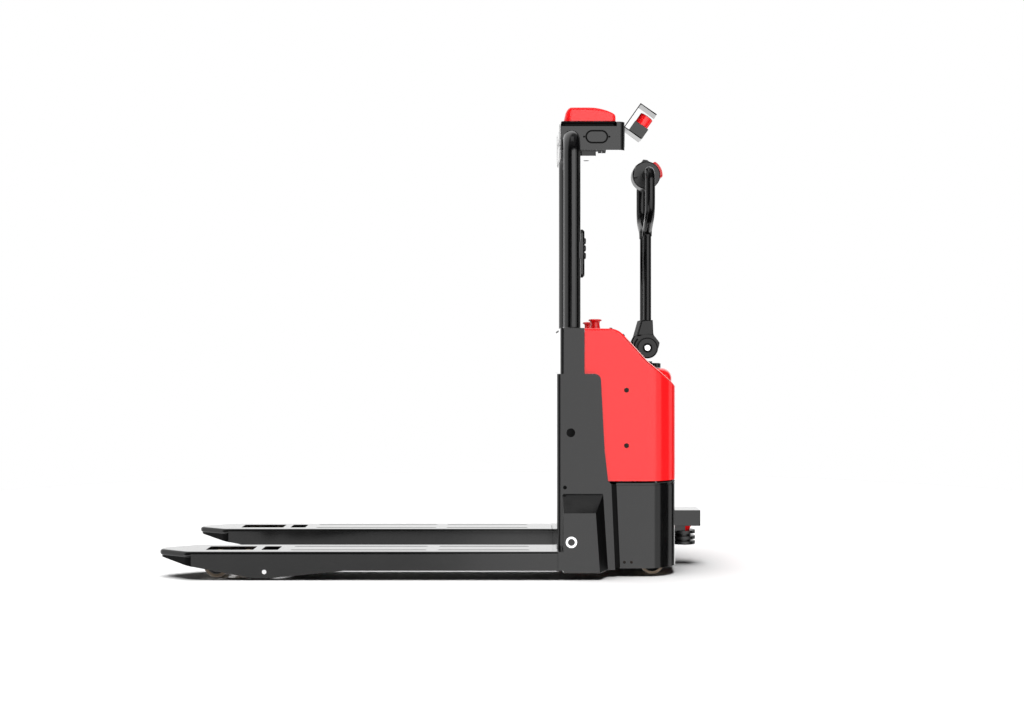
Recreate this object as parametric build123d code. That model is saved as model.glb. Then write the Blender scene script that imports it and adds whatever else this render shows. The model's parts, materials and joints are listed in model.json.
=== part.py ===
from build123d import *
import math
import os

# A low-lift robotic pallet truck. Millimetres; +X points to the drive unit, -X to the fork tips,
# +Z up. The origin lies on the floor, under the middle of the truck's outer box.

# Shared
SIDES = (-1, 1)
OVER = 1.0
RUNNING_FIT = 0.06

# Forks
TIP_X = -798.0
TIP_JOINT_X = -693.5
HEEL_X = 352.0
FORK_OUT = 342.5
FORK_WIDTH = 160.0
FORK_TOP = 81.0
FORK_UNDER = 27.0
FORK_BELLY = 6.0
FORK_SHEET = 6.0
FORK_EDGE = 8.0
FORK_MID = FORK_OUT - FORK_WIDTH / 2
BELLY_FRONT_X = -518.5
BELLY_REAR_X = -468.5
BELLY_END_X = -256.5
TIP_UNDER = 38.0
SLOT_WIDTH = 75.0
ROLLER_SLOT = (-660.5, -524.5)
LEVER_SLOT = (-500.5, -452.5)
BEAD_RUNS = ((-415.5, -25.5), (8.5, 271.5))
BEAD_OFFSET = 38.0
BEAD_WIDTH = 9.0
BEAD_DEPTH = 1.5
SLOT_CORNER = 6.0
NOSE_HALF = 20.0
NOSE_R = 18.0
TIP_SHOULDER = 14.0
TIP_SHOULDER_R = 12.0
TIP_FLAT = 40.0
TIP_DROP = 4.0
TIP_RISE = 17.0
TIP_ROUND = 9.0
PIN_CHAMFER = 1.5

# Load wheels, their bogies and load arms
ROLLER_R = 37.0
ROLLER_HALF = 30.0
BOGIE_X = -590.5
ROLLER_PITCH = 82.0
AXLE_R = 8.0
TREAD_CHAMFER = 3.0
BOGIE_EYE_R = 14.0
BOGIE_SIDE = (32.0, 38.0)
ARM_SIDE = (40.0, 48.0)
ARM_PIVOT_X = -484.5
ARM_PIVOT_Z = 23.7
ARM_TUBE_R = 15.0
ARM_TUBE_HALF = 72.0
ARM_EYE_R = 13.0
ARM_STUB_IN = 0.5
LEVER_ROOT_R = 12.0
LEVER_EYE_R = 9.0

# Lifting linkage
LIFT = 105.0
CRANK_X = 390.8
CRANK_Z = 108.0
CRANK_R = 10.0
BUSH_R = 16.0
CRANK_DROP = 50.0
CRANK_REACH = 120.0
CRANK_ANGLE = math.asin(LIFT / 2 / CRANK_REACH)
ROD_TRAVEL = 2 * CRANK_DROP * math.sin(CRANK_ANGLE)
ARM_LENGTH = math.hypot(BOGIE_X - ARM_PIVOT_X, ROLLER_R - ARM_PIVOT_Z)
ARM_START = math.asin((ROLLER_R - ARM_PIVOT_Z) / ARM_LENGTH)
ARM_END = math.asin((LIFT - ROLLER_R + ARM_PIVOT_Z) / ARM_LENGTH)
LEVER_ANGLE = (ARM_START + ARM_END) / 2
LEVER_LENGTH = ROD_TRAVEL / 2 / math.sin(LEVER_ANGLE)
CRANK_REACH_SIDE = (138.0, 146.0)
CRANK_DROP_RADII = (18.0, 10.0)
CRANK_REACH_RADII = (20.0, 13.0)
CRANK_SETBACK = 0.5
LEDGE_PIN_END = 168.0
ROD_Y = 245.0
ROD_Z = 60.5
ROD_HALF = 6.0
ROD_DEPTH = 16.0
ROD_END = (32.0, 27.0)
ROD_END_R = 6.0
ROD_END_DROP = 0.25
ROD_SLOT = (22.0, 14.0)
CLEVIS = (8.0, 14.0)
LINK_PIN_R = 6.0
LEDGE_PIN_R = 8.0
CYLINDER_X = 470.0
CYLINDER_TOP = 470.0
CYLINDER_R = 29.0
PISTON_R = 18.0
PISTON_START = 100.0
BARREL_FLOOR = 15.0
BARREL_ROOM = 5.0
BARREL_GLAND = 25.0
BARREL_FOOT = (7.0, 12.0)

# Fork frame: a folded sheet shell with a narrower column on top
SHELL_SHEET = 6.0
SHELL_HALF = 282.0
SHELL_LOW = 20.0
SHELL_SHOULDER = 587.0
SHELL_BEND = 11.0
COLUMN_FRONT_X = 361.5
COLUMN_REAR_X = 431.0
COLUMN_TOP = 720.0
SHELL_REAR_EDGE = ((478.0, SHELL_SHOULDER, 18.0), (489.5, 366.0), (499.5, 277.0), (509.0, 268.0),
                   (520.0, SHELL_LOW))
CROSSHEAD = (552.0, 582.0)
CROSSHEAD_ARM = (30.0, 40.0)
SEAM = 2.0
ROD_WINDOW = (18.0, 16.0, 18.0)
EYE_HOLE_R = 12.4
EYE_HOLE_X = 391.5
EYE_HOLE_Z = 417.0
ROOT_FRONT_X = 367.5
ROOT_SHEET = 5.0
ROOT_WALL = 7.0
ROOT_NEAR = (238.0, 485.5, 499.5)
ROOT_FAR = (191.0, 460.5, 472.5)

# Battery
BATTERY_X = (368.5, 424.0)
BATTERY_HALF = 225.0
BATTERY_Z = (200.0, 535.0)
BATTERY_ROUND = 8.0
TRAY_HALF = 235.0
TRAY_LOW = 190.0
HANDLE_X = (390.0, 404.0)
HANDLE_HALF = 60.0
HANDLE_BAR = 6.0
HANDLE_HEIGHT = 14.0

# Mast hoop and sensor head
MAST_X = 398.5
MAST_HALF = 205.0
MAST_R = 25.0
MAST_WALL = 3.0
MAST_BEND = 58.0
BOW_LEG = 2.0
BAR_Z = 1288.0
MAST_JOINT_Z = BAR_Z - MAST_BEND - BOW_LEG
HEAD_X = (368.0, 561.5)
HEAD_Z = (1259.0, 1344.5)
HEAD_HALF = 120.0
HEAD_WALL = 3.0
HEAD_CORNER = 20.0
HEAD_REAR_FLOOR = 11.0
LID_X = (369.5, 536.5)
LID_Z = (1331.0, 1340.0, 1346.0)
LID_INSET = 6.0
LID_ROUND = 10.0
DOME_TOP = 1392.0
DOME_X = (376.5, 536.0)
DOME_HALF = 108.0
DOME_FRONT_Z = 1379.0
DOME_CROWN_X = (401.0, 464.0)
DOME_REAR = (531.0, 1373.0)
DOME_SIDE_Z = 1356.0
DOME_SHOULDER = 26.0
DOME_ROUNDS = (6.0, 24.0, 90.0, 5.0)
DOME_SIDE_ROUNDS = (4.0, 14.0)
DOME_CORNER = 16.0
PLATE_HALF = 118.0
PLATE_Z = (1235.0, 1340.0)
PLATE_ROUND = (26.0, 8.0)
WINDOW_X = 476.5
WINDOW_Z = 1299.0
WINDOW_SIZE = (68.0, 40.0)
WINDOW_PROUD = 0.5
WINDOW_DEPTH = 5.0
GROOVE_EDGES = (4.0, 9.0)
GROOVE_DEPTH = 1.5
CAMERA_X = (427.0, 475.0)
CAMERA_HALF = 105.0
CAMERA_LOW = 1243.5
CAMERA_ROUND = 6.0
LENS_R = 9.0
LENS_DEPTH = 3.0
GLAND_X = (487.0, 499.0)
GLAND_Y = (-104.0, -88.0)
GLAND_END_X = 505.0
GLAND_R = 5.5
GLAND_Z = (1252.0, 1256.0)

# Tilted laser scanner on the head: origin at the bracket's upper corner, turned about Y
LIDAR_CORNER = (616.5, 1416.0)
LIDAR_TILT = 35.0
LIDAR_HALF = 35.0
LIDAR_BACK = 90.0
LIDAR_LEG = 61.0
LIDAR_SHEET = 3.0
LIDAR_TAB_Z = (1280.0, 1344.0)
LIDAR_BASE_U = (17.3, 66.3)
LIDAR_BASE_HALF = 24.0
LIDAR_BASE_TOP = -51.0
LIDAR_BASE_ROUND = 8.0
LIDAR_EYE_U = 39.4
LIDAR_EYE_R = 20.7
LIDAR_CAP_R = 21.4
LIDAR_CAP = (-21.0, -18.0)

# Operator panel on the mast
PANEL_X = (430.5, 441.5)
PANEL_Z = (877.0, 1024.0)
PANEL_HALF = 90.0
PANEL_ROUND = 14.0
PANEL_CHAMFER = 5.0
PANEL_BAR_Z = (925.0, 975.0)
PANEL_BAR_IN = 6.0
PANEL_BAR_END = 16.0
PANEL_BAR_ROOM = 40.0
BUTTON_R = 10.5
BUTTON_FIT = 0.4
BUTTON_FLOOR = 1.0
BUTTON_BACK = 4.5
BUTTON_ROUND = 2.0
BUTTON_OUT_X = 446.5
BUTTON_Z = {"top": 994.5, "middle": 972.0, "bottom": 949.0}

# Drive unit covers
HOOD_HALF = 272.0
HOOD_FRONT_X = 432.0
HOOD_Z = (276.0, 719.0)
SKIRT_HALF = 278.0
SKIRT_Z = (24.0, 264.0)
SKIRT_LIP_Z = (267.0, 271.0)
RIM_INSET = 3.0
RIM_LAP = 12.0
RIM_WALL = 3.5
COVER_WALL = 4.0
HOOD_EDGE = 8.0
HOOD_CREST_X = 528.5
HOOD_CREST_R = 54.0
HOOD_KNEE = (614.5, 624.0)
HOOD_KNEE_R = 30.0
HOOD_REAR_Z = 539.0
SLOPE_STRETCH = 1.5
RIM_TILT = 0.2
REAR_X = 704.5
REAR_BOW = 7.0
REAR_CORNER = 96.0
SKIRT_FRONT_TOP_X = 523.5
SKIRT_FRONT_LOW_X = 534.5
HOOD_SCREWS = ((553.5, 540.0), (553.5, 379.0))
SKIRT_SCREWS = ((547.0, 42.0), (567.0, 42.0))
SCREW_HEAD_R = 7.0
SKIRT_SCREW_R = 4.0
SCREW_HEAD = 2.5
SCREW_SOCKET = 0.5
SCREW_SHANK_R = 3.0
SCREW_LENGTH = 14.0

# Chassis inside the covers
DECK_X = (500.0, 690.0)
FRAME_X = (480.0, 680.0)
FRAME_Y = (150.0, 162.0)
TONGUE = (32.0, 45.0)
LEDGE_SLOT = (38.0, 19.6)
LEDGE_SLOT_SHIFT = 6.0
SHELF_X = (540.0, 632.0)
POST_X = (540.0, 567.0)
POST_WALL = 12.0
POST_TOP = 570.0
SKIRT_POST_X = (540.0, 572.0)
SKIRT_POST_WALL = 14.0
SKIRT_POST_LOW = 30.0
PUMP_PLACE = (556.0, 112.0)
PUMP_TANK = (34.0, 40.0, 48.0, 70.0)
PUMP_ROUND = 8.0
PUMP_MOTOR = (33.0, 190.0)
PUMP_VALVE = (18.0, 66.0, 39.0)
PUMP_VALVE_Z = (10.0, 55.0)

# Steering, drive wheel and tiller
STEER_X = 611.5
WHEEL_R = 87.5
WHEEL_HALF = 27.5
DECK_Z = (200.0, 212.0)
TURRET_R = 60.0
TURRET_LIP = (12.0, 0.5, 8.0)
CHEEK_RADII = (46.0, 34.0)
CHEEK_SIDE = (4.0, 26.0)
CHEEK_GAP = 2.0
WHEEL_GAP = 6.0
HUB_R = 16.0
DISH = (24.0, 30.0, 8.0)
TYRE_ROUND = 5.0
MOTOR_R = 58.0
MOTOR_HEIGHT = 150.0
FIN_COUNT = 6
FIN_START = 30.0
FIN_PITCH = 16.0
FIN_GAP = 6.0
FIN_DEPTH = 4.0
WELL_R = 103.0
WELL_WALL = 4.0
WELL_DECK = 602.0
WELL_SKIRT = 50.0
HUMP_ROUND = 32.0
TROUGH_FRONT_X = 538.0
TROUGH_LOW = (92.0, 643.0)
TROUGH_HIGH = (182.0, 733.0)
TROUGH_BEND = 40.0
TROUGH_SPREAD = 0.4
COLLAR_R = 70.0
COLLAR_TOP = 618.0
COLLAR_ROUND = 4.0
COLLAR_FIT = 3.0
HUB_RING_R = 44.0
HUB_RING_TOP = 623.0
COLUMN_R = 30.0
TILT_X = 635.5
TILT_Z = 664.0
TILT_PIN_R = 10.0
TILT_PIN_HALF = 58.0
LUG_FOOT = (572.0, 610.0)
LUG_NECK_X = 615.0
LUG_NECK_R = 8.0
LUG_BACK_X = 604.0
LUG_RISE = 18.0
LUG_EYE_R = 22.0
LUG_HALF = 27.0
JOINT_CHEEK = ((617.0, 747.0, 4.0), (650.0, 747.0, 4.0), (655.0, 704.0, 16.0), (674.0, 680.0, 8.0),
               (667.0, 650.0, 24.0), (600.0, 650.0, 24.0), (592.0, 684.0, 8.0), (603.0, 706.0, 16.0))
JOINT_CHEEK_SIDE = (28.0, 46.0)
JOINT_BRIDGE = ((615.0, 749.0), (651.0, 749.0), (653.0, 700.0), (601.0, 700.0))
JOINT_HALF = 66.0
JOINT_ROUND = 6.0
JOINT_ARCH_R = 43.0
JOINT_DISC_R = 32.5
JOINT_DISC_END = 54.0
JOINT_RING_R = 16.5
JOINT_RING_END = 56.0
TILLER_X = 634.5
TUBE_R = 12.5
TUBE_WALL = 2.5
TUBE_HALF = 50.0
TUBE_LOW = 722.0
GRIP_R = 14.5
GRIP_LOW = 1005.0
LOOP_HALF = 148.0
LOOP_LOW = 1022.0
LOOP_WIDE = 1066.0
LOOP_BENDS = (24.0, 60.0, 34.0)
HEAD_AXIS_Z = 1195.0
DRUM_R = 43.0
DRUM_HALF = 32.0
DRUM_WALL = 4.0
DRUM_ROUND = 5.0
FIN_POINTS = ((-20.0, 34.0), (-9.0, 49.0, 3.0), (3.0, 47.5, 6.0), (27.0, 30.0))
FIN_HALF = 24.0
BELLY_ANGLE = 27.0
BELLY_SIZE = (50.0, 52.0)
BELLY_FIT = 2.0
BELLY_ROUND = 8.0
BELLY_PROUD = 7.5
BELLY_BACK = 30.0
BELLY_ROOM = 22.0
THROTTLE_X = 601.0
THROTTLE_Z = 1199.0
THROTTLE_R = 5.0
THROTTLE_WING = ((-1.0, 25.0, 4.0), (9.0, 22.0, 4.0), (6.0, -12.0, 5.0), (-7.0, -13.0, 5.0))
THROTTLE_GAP = 1.0
THROTTLE_SPAN = 18.0

# Stabilising casters
CASTER_X = 611.5
CASTER_Y = 212.0
CASTER_TRAIL = 20.0
CASTER_R = 36.0
CASTER_HALF = 15.0
CASTER_GAP = 6.0
CASTER_ROUND = 4.0
CASTER_CROWN_R = 26.0
CASTER_AXLE_R = 6.0
CASTER_LEG = (13.0, 14.0)
CASTER_LEG_SIDE = (2.0, 6.0)
CASTER_LEG_TOP = (4.0, 6.0)
STEM_R = 12.0
STEM_END = 14.0
SHELF_Z = (100.0, 112.0)

# Emergency stops
STOP_X = 468.5
STOP_Y = 170.0
STOP_CAP_R = 20.0
STOP_STEM_R = 15.0
STOP_NECK_R = 12.6
STOP_TOP = 749.0
STOP_FOOT = 24.0
STOP_LIP = 5.0
STOP_CAP_Z = (738.0, 741.0, 746.5)
STOP_CAP_TOP_R = 17.5
STOP_FIT = 0.4

# Rear safety scanner
SHIELD_HALF = 50.0
SHIELD_END_X = 798.0
SHIELD_Z = (119.5, 167.5)
SCANNER_X = 750.0
SCANNER_R = 37.5
SCANNER_CORE_R = 24.0
SCANNER_LEVELS = (60.0, 75.5, 93.0)
SCANNER_DISC = 9.7
SCANNER_FOOT_X = (712.0, 754.0)
SCANNER_FOOT_HALF = 30.0
SCANNER_FOOT_LOW = 101.0
RING_RADII = (20.0, 28.0)
SHIELD_WALL = 3.0
SHIELD_ROUND = 4.0


def block(x0, x1, y0, y1, z0, z1):
    """A box between two corners."""
    middle = ((x0 + x1) / 2, (y0 + y1) / 2, (z0 + z1) / 2)
    return Pos(*middle) * Box(x1 - x0, y1 - y0, z1 - z0)


def outline(points):
    """A flat face from (u, v) or (u, v, corner radius) points."""
    face = Polygon(*[point[:2] for point in points], align=None)
    for point in points:
        if len(point) == 3:
            corner = face.vertices().sort_by_distance((point[0], point[1], 0))[0]
            face = fillet(corner, point[2])
    return face


def side_slab(face, y0, y1):
    """A face drawn in X and Z, as thick as from y0 to y1."""
    return extrude(Plane.XZ.offset(-y1) * face, y1 - y0, dir=(0, -1, 0))


def plan_slab(face, z0, z1):
    """A face drawn in X and Y, as thick as from z0 to z1."""
    return extrude(Plane.XY.offset(z0) * face, z1 - z0, dir=(0, 0, 1))


def front_slab(face, x0, x1):
    """A face drawn in Y and Z, as thick as from x0 to x1."""
    return extrude(Plane.YZ.offset(x0) * face, x1 - x0, dir=(1, 0, 0))


def rod_x(radius, y, z, x0, x1):
    return front_slab(Pos(y, z) * Circle(radius), x0, x1)


def rod_y(radius, x, z, y0, y1):
    return side_slab(Pos(x, z) * Circle(radius), y0, y1)


def rod_z(radius, x, y, z0, z1):
    return plan_slab(Pos(x, y) * Circle(radius), z0, z1)


def round_edges(shape):
    """The circular edges of a turned shape."""
    return shape.edges().filter_by(GeomType.CIRCLE)


def top_edges(shape):
    """The edges round a shape's highest face."""
    return shape.faces().sort_by(Axis.Z)[-1].edges()


def span(side, near, far):
    """Two distances from the middle, on one side, in rising order."""
    return sorted((side * near, side * far))


def around(middle, side, near, far):
    """Two distances from a middle, on one side of it, in rising order."""
    return sorted((middle + side * near, middle + side * far))


def link_face(start, end, start_r, end_r):
    """The outline of a flat link with a round eye at each end."""
    eyes = [Pos(*start) * Circle(start_r), Pos(*end) * Circle(end_r)]
    return make_hull([edge for eye in eyes for edge in eye.edges()])


def mirrored(shape):
    """The same shape on the other side of the truck."""
    return mirror(shape, about=Plane.XZ)


def pair(shape):
    """A left and a right piece kept apart in one node."""
    return [shape, mirrored(shape)]


def on_side(shape, side):
    """A shape modelled on the +Y side, moved to the asked side."""
    return shape if side > 0 else mirrored(shape)


# Forks and tips

def fork():
    half = FORK_WIDTH / 2
    inner = half - FORK_SHEET
    lid = FORK_TOP - FORK_SHEET
    bend = FORK_EDGE - FORK_SHEET
    outside = outline([
        (FORK_MID - half, FORK_BELLY), (FORK_MID + half, FORK_BELLY),
        (FORK_MID + half, FORK_TOP, FORK_EDGE), (FORK_MID - half, FORK_TOP, FORK_EDGE)])
    inside = outline([
        (FORK_MID - inner, 0), (FORK_MID + inner, 0),
        (FORK_MID + inner, lid, bend), (FORK_MID - inner, lid, bend)])
    channel = front_slab(outside, TIP_JOINT_X, HEEL_X)
    channel -= front_slab(inside, TIP_JOINT_X - OVER, HEEL_X + OVER)
    below = outline([
        (TIP_JOINT_X - OVER, 0), (TIP_JOINT_X - OVER, TIP_UNDER), (TIP_JOINT_X + FORK_SHEET, TIP_UNDER),
        (BELLY_FRONT_X, FORK_BELLY), (BELLY_REAR_X, FORK_BELLY), (BELLY_END_X, FORK_UNDER),
        (HEEL_X + OVER, FORK_UNDER), (HEEL_X + OVER, 0)])
    channel -= side_slab(below, 0, FORK_OUT + OVER)
    for start, end in (ROLLER_SLOT, LEVER_SLOT):
        slot = Pos((start + end) / 2, FORK_MID) * RectangleRounded(end - start, SLOT_WIDTH, SLOT_CORNER)
        channel -= plan_slab(slot, lid - OVER, FORK_TOP + OVER)
    for start, end in BEAD_RUNS:
        for side in SIDES:
            place = Pos((start + end) / 2, FORK_MID + side * BEAD_OFFSET)
            bead = place * SlotOverall(end - start, BEAD_WIDTH)
            channel -= plan_slab(bead, FORK_TOP - BEAD_DEPTH, FORK_TOP + OVER)
    channel -= rod_y(AXLE_R, ARM_PIVOT_X, ARM_PIVOT_Z, 0, FORK_OUT + OVER)
    return channel


def fork_tip():
    half = FORK_WIDTH / 2
    shoulder = TIP_JOINT_X - TIP_SHOULDER
    plan = outline([
        (TIP_JOINT_X, FORK_MID - half), (TIP_JOINT_X, FORK_MID + half),
        (shoulder, FORK_MID + half, TIP_SHOULDER_R), (TIP_X, FORK_MID + NOSE_HALF, NOSE_R),
        (TIP_X, FORK_MID - NOSE_HALF, NOSE_R), (shoulder, FORK_MID - half, TIP_SHOULDER_R)])
    profile = outline([
        (TIP_JOINT_X, TIP_UNDER), (TIP_JOINT_X, FORK_TOP), (TIP_JOINT_X - TIP_FLAT, FORK_TOP),
        (TIP_X, FORK_TOP - TIP_DROP, TIP_ROUND), (TIP_X, TIP_UNDER + TIP_RISE, TIP_ROUND)])
    return plan_slab(plan, 0, FORK_TOP) & side_slab(profile, 0, FORK_OUT)


def arm_pivot_pin():
    pin = rod_y(AXLE_R, ARM_PIVOT_X, ARM_PIVOT_Z, FORK_OUT - FORK_WIDTH, FORK_OUT)
    return chamfer(round_edges(pin), PIN_CHAMFER)


# Load arms, bogies and rollers

def lever_pin_place():
    return (ARM_PIVOT_X + LEVER_LENGTH * math.sin(LEVER_ANGLE),
            ARM_PIVOT_Z + LEVER_LENGTH * math.cos(LEVER_ANGLE))


def load_arm():
    pivot = (ARM_PIVOT_X, ARM_PIVOT_Z)
    bogie_place = (BOGIE_X, ROLLER_R)
    body = rod_y(ARM_TUBE_R, *pivot, FORK_MID - ARM_TUBE_HALF, FORK_MID + ARM_TUBE_HALF)
    cheek = link_face(pivot, bogie_place, ARM_TUBE_R, ARM_EYE_R)
    lever = link_face(pivot, lever_pin_place(), LEVER_ROOT_R, LEVER_EYE_R)
    for side in SIDES:
        body += side_slab(cheek, *around(FORK_MID, side, *ARM_SIDE))
        stub = around(FORK_MID, side, BOGIE_SIDE[0] - ARM_STUB_IN, ARM_SIDE[1])
        body += rod_y(AXLE_R, *bogie_place, *stub)
        body += side_slab(lever, *around(ROD_Y, side, *CLEVIS))
    body += rod_y(LINK_PIN_R, *lever_pin_place(), ROD_Y - CLEVIS[1], ROD_Y + CLEVIS[1])
    return body - rod_y(AXLE_R + RUNNING_FIT, *pivot, 0, FORK_OUT)


def bogie():
    ends = [(BOGIE_X + side * ROLLER_PITCH / 2, ROLLER_R) for side in SIDES]
    cheek = link_face(*ends, BOGIE_EYE_R, BOGIE_EYE_R)
    body = rod_y(AXLE_R, *ends[0], FORK_MID - BOGIE_SIDE[1], FORK_MID + BOGIE_SIDE[1])
    body += rod_y(AXLE_R, *ends[1], FORK_MID - BOGIE_SIDE[1], FORK_MID + BOGIE_SIDE[1])
    for side in SIDES:
        plate = side_slab(cheek, *around(FORK_MID, side, *BOGIE_SIDE))
        body += plate - rod_y(AXLE_R + RUNNING_FIT, BOGIE_X, ROLLER_R, 0, FORK_OUT)
    return body


def roller(step):
    centre_x = BOGIE_X + step * ROLLER_PITCH / 2
    tread = rod_y(ROLLER_R, centre_x, ROLLER_R, FORK_MID - ROLLER_HALF, FORK_MID + ROLLER_HALF)
    tread = chamfer(round_edges(tread), TREAD_CHAMFER)
    return tread - rod_y(AXLE_R + RUNNING_FIT, centre_x, ROLLER_R, 0, FORK_OUT)


# Lifting linkage

def crank_pin_place():
    return (CRANK_X + CRANK_DROP * math.sin(CRANK_ANGLE), CRANK_Z - CRANK_DROP * math.cos(CRANK_ANGLE))


def ledge_pin_place():
    return (CRANK_X + CRANK_REACH * math.cos(CRANK_ANGLE), CRANK_Z + CRANK_REACH * math.sin(CRANK_ANGLE))


def bell_crank():
    pivot = (CRANK_X, CRANK_Z)
    body = rod_y(CRANK_R, *pivot, -FORK_OUT + CRANK_SETBACK, FORK_OUT - CRANK_SETBACK)
    drop = link_face(pivot, crank_pin_place(), *CRANK_DROP_RADII)
    reach = link_face(pivot, ledge_pin_place(), *CRANK_REACH_RADII)
    for side in SIDES:
        for edge in SIDES:
            body += side_slab(drop, *around(side * ROD_Y, edge, *CLEVIS))
        body += rod_y(LINK_PIN_R, *crank_pin_place(), side * ROD_Y - CLEVIS[1], side * ROD_Y + CLEVIS[1])
        body += side_slab(reach, *span(side, *CRANK_REACH_SIDE))
        body += rod_y(LEDGE_PIN_R, *ledge_pin_place(), *span(side, CRANK_REACH_SIDE[0], LEDGE_PIN_END))
    return body


def push_rod():
    ends = (lever_pin_place()[0], crank_pin_place()[0])
    near, far = ROD_Y - ROD_HALF, ROD_Y + ROD_HALF
    body = block(*ends, near, far, ROD_Z - ROD_DEPTH / 2, ROD_Z + ROD_DEPTH / 2)
    for x in ends:
        body += side_slab(Pos(x, ROD_Z - ROD_END_DROP) * RectangleRounded(*ROD_END, ROD_END_R), near, far)
    for x in ends:
        hole = Pos(x, ROD_Z) * Rot(0, 0, 90) * SlotOverall(*ROD_SLOT)
        body -= side_slab(hole, near - OVER, far + OVER)
    return body


def lift_barrel():
    low = DECK_Z[1]
    floor = low + BARREL_FLOOR
    foot_r, foot_height = BARREL_FOOT
    body = rod_z(CYLINDER_R, CYLINDER_X, 0, low, CYLINDER_TOP)
    body += rod_z(CYLINDER_R + foot_r, CYLINDER_X, 0, low, low + foot_height)
    body -= rod_z(PISTON_R + BARREL_ROOM, CYLINDER_X, 0, floor, CYLINDER_TOP - BARREL_GLAND)
    return body - rod_z(PISTON_R + RUNNING_FIT, CYLINDER_X, 0, floor, CYLINDER_TOP + OVER)


def lift_rod():
    return rod_z(PISTON_R, CYLINDER_X, 0, DECK_Z[1] + PISTON_START, CROSSHEAD[0])


# Fork frame

def tray_face(front_x, rear_x, half, bend):
    """The plan of a sheet tray: square at the rear, bent corners at the front."""
    return outline([(rear_x, -half), (rear_x, half), (front_x, half, bend), (front_x, -half, bend)])


def shell_tray(front_x, rear_x, z0, z1):
    """A sheet folded round the front and both sides."""
    outside = tray_face(front_x, rear_x, SHELL_HALF, SHELL_BEND)
    sheet = SHELL_SHEET
    inside = tray_face(front_x + sheet, rear_x + OVER, SHELL_HALF - sheet, SHELL_BEND - sheet)
    return plan_slab(outside, z0, z1) - plan_slab(inside, z0 - OVER, z1 + OVER)


def frame_shell():
    inner = SHELL_HALF - SHELL_SHEET
    side = outline([(HEEL_X, SHELL_LOW), (HEEL_X, SHELL_SHOULDER), *SHELL_REAR_EDGE])
    lower = shell_tray(HEEL_X, SHELL_REAR_EDGE[-1][0] + OVER, SHELL_LOW, SHELL_SHOULDER)
    lower = lower & side_slab(side, -SHELL_HALF, SHELL_HALF)
    upper = shell_tray(COLUMN_FRONT_X, COLUMN_REAR_X, SHELL_SHOULDER - SHELL_SHEET, COLUMN_TOP)
    cap_face = tray_face(COLUMN_FRONT_X, COLUMN_REAR_X, SHELL_HALF, SHELL_BEND)
    cap = plan_slab(cap_face, COLUMN_TOP - SHELL_SHEET, COLUMN_TOP)
    ledge = block(HEEL_X + SEAM, COLUMN_FRONT_X + SEAM, -inner, inner, SHELL_SHOULDER - SHELL_SHEET,
                  SHELL_SHOULDER)
    arm_reach, arm_half = CROSSHEAD_ARM
    crosshead = block(HEEL_X + SEAM, COLUMN_REAR_X - SEAM, -inner, inner, *CROSSHEAD)
    crosshead += block(COLUMN_REAR_X - 2 * SEAM, CYLINDER_X + arm_reach, -arm_half, arm_half, *CROSSHEAD)
    shell = lower + upper + cap + ledge + crosshead
    half, below, above = ROD_WINDOW
    depth = SHELL_BEND + SEAM
    for side in SIDES:
        y = side * ROD_Y
        shell -= block(HEEL_X - OVER, HEEL_X + depth, y - half, y + half, ROD_Z - below, ROD_Z + above)
    shell -= rod_y(BUSH_R, CRANK_X, CRANK_Z, -FORK_OUT, FORK_OUT)
    return shell - rod_y(EYE_HOLE_R, EYE_HOLE_X, EYE_HOLE_Z, -FORK_OUT, FORK_OUT)


def root_face(sizes, front_x, low, wall):
    """The side of the root box at one distance from the middle, less a wall."""
    top, rear_top, rear_low = [size - wall for size in sizes]
    return outline([(front_x, low), (front_x, top), (rear_top, top), (rear_low, low)])


def root_box():
    body = loft([Plane.XZ.offset(-SHELL_HALF) * root_face(ROOT_NEAR, ROOT_FRONT_X, SHELL_LOW, 0),
                 Plane.XZ.offset(-FORK_OUT) * root_face(ROOT_FAR, ROOT_FRONT_X, SHELL_LOW, 0)])
    front = ROOT_FRONT_X + ROOT_SHEET
    body -= loft([Plane.XZ.offset(-SHELL_HALF) * root_face(ROOT_NEAR, front, 0, ROOT_WALL),
                  Plane.XZ.offset(-FORK_OUT + ROOT_SHEET) * root_face(ROOT_FAR, front, 0, ROOT_WALL)])
    body += block(HEEL_X, ROOT_FRONT_X + OVER, SHELL_HALF, FORK_OUT, FORK_UNDER, FORK_TOP)
    return body - rod_y(BUSH_R, CRANK_X, CRANK_Z, 0, FORK_OUT + OVER)


def crank_bush():
    bush = rod_y(BUSH_R, CRANK_X, CRANK_Z, SHELL_HALF - SHELL_SHEET, FORK_OUT)
    return bush - rod_y(CRANK_R + RUNNING_FIT, CRANK_X, CRANK_Z, 0, FORK_OUT + OVER)


def battery_pack():
    low, top = BATTERY_Z
    case = block(*BATTERY_X, -BATTERY_HALF, BATTERY_HALF, low, top)
    case = fillet(case.edges().filter_by(Axis.X), BATTERY_ROUND)
    tray = block(HEEL_X + SHELL_SHEET, BATTERY_X[1], -TRAY_HALF, TRAY_HALF, TRAY_LOW, low)
    inside = HANDLE_HALF - HANDLE_HEIGHT
    handle = block(*HANDLE_X, -HANDLE_HALF, HANDLE_HALF, top, top + HANDLE_HEIGHT)
    handle -= block(HANDLE_X[0] - OVER, HANDLE_X[1] + OVER, -inside, inside, top - OVER,
                    top + HANDLE_HEIGHT - HANDLE_BAR)
    return case + tray + handle


# Mast hoop and sensor head

def mast_post():
    inside = MAST_R - MAST_WALL
    tube = rod_z(MAST_R, MAST_X, -MAST_HALF, COLUMN_TOP, MAST_JOINT_Z)
    return tube - rod_z(inside, MAST_X, -MAST_HALF, COLUMN_TOP - OVER, MAST_JOINT_Z + OVER)


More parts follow.
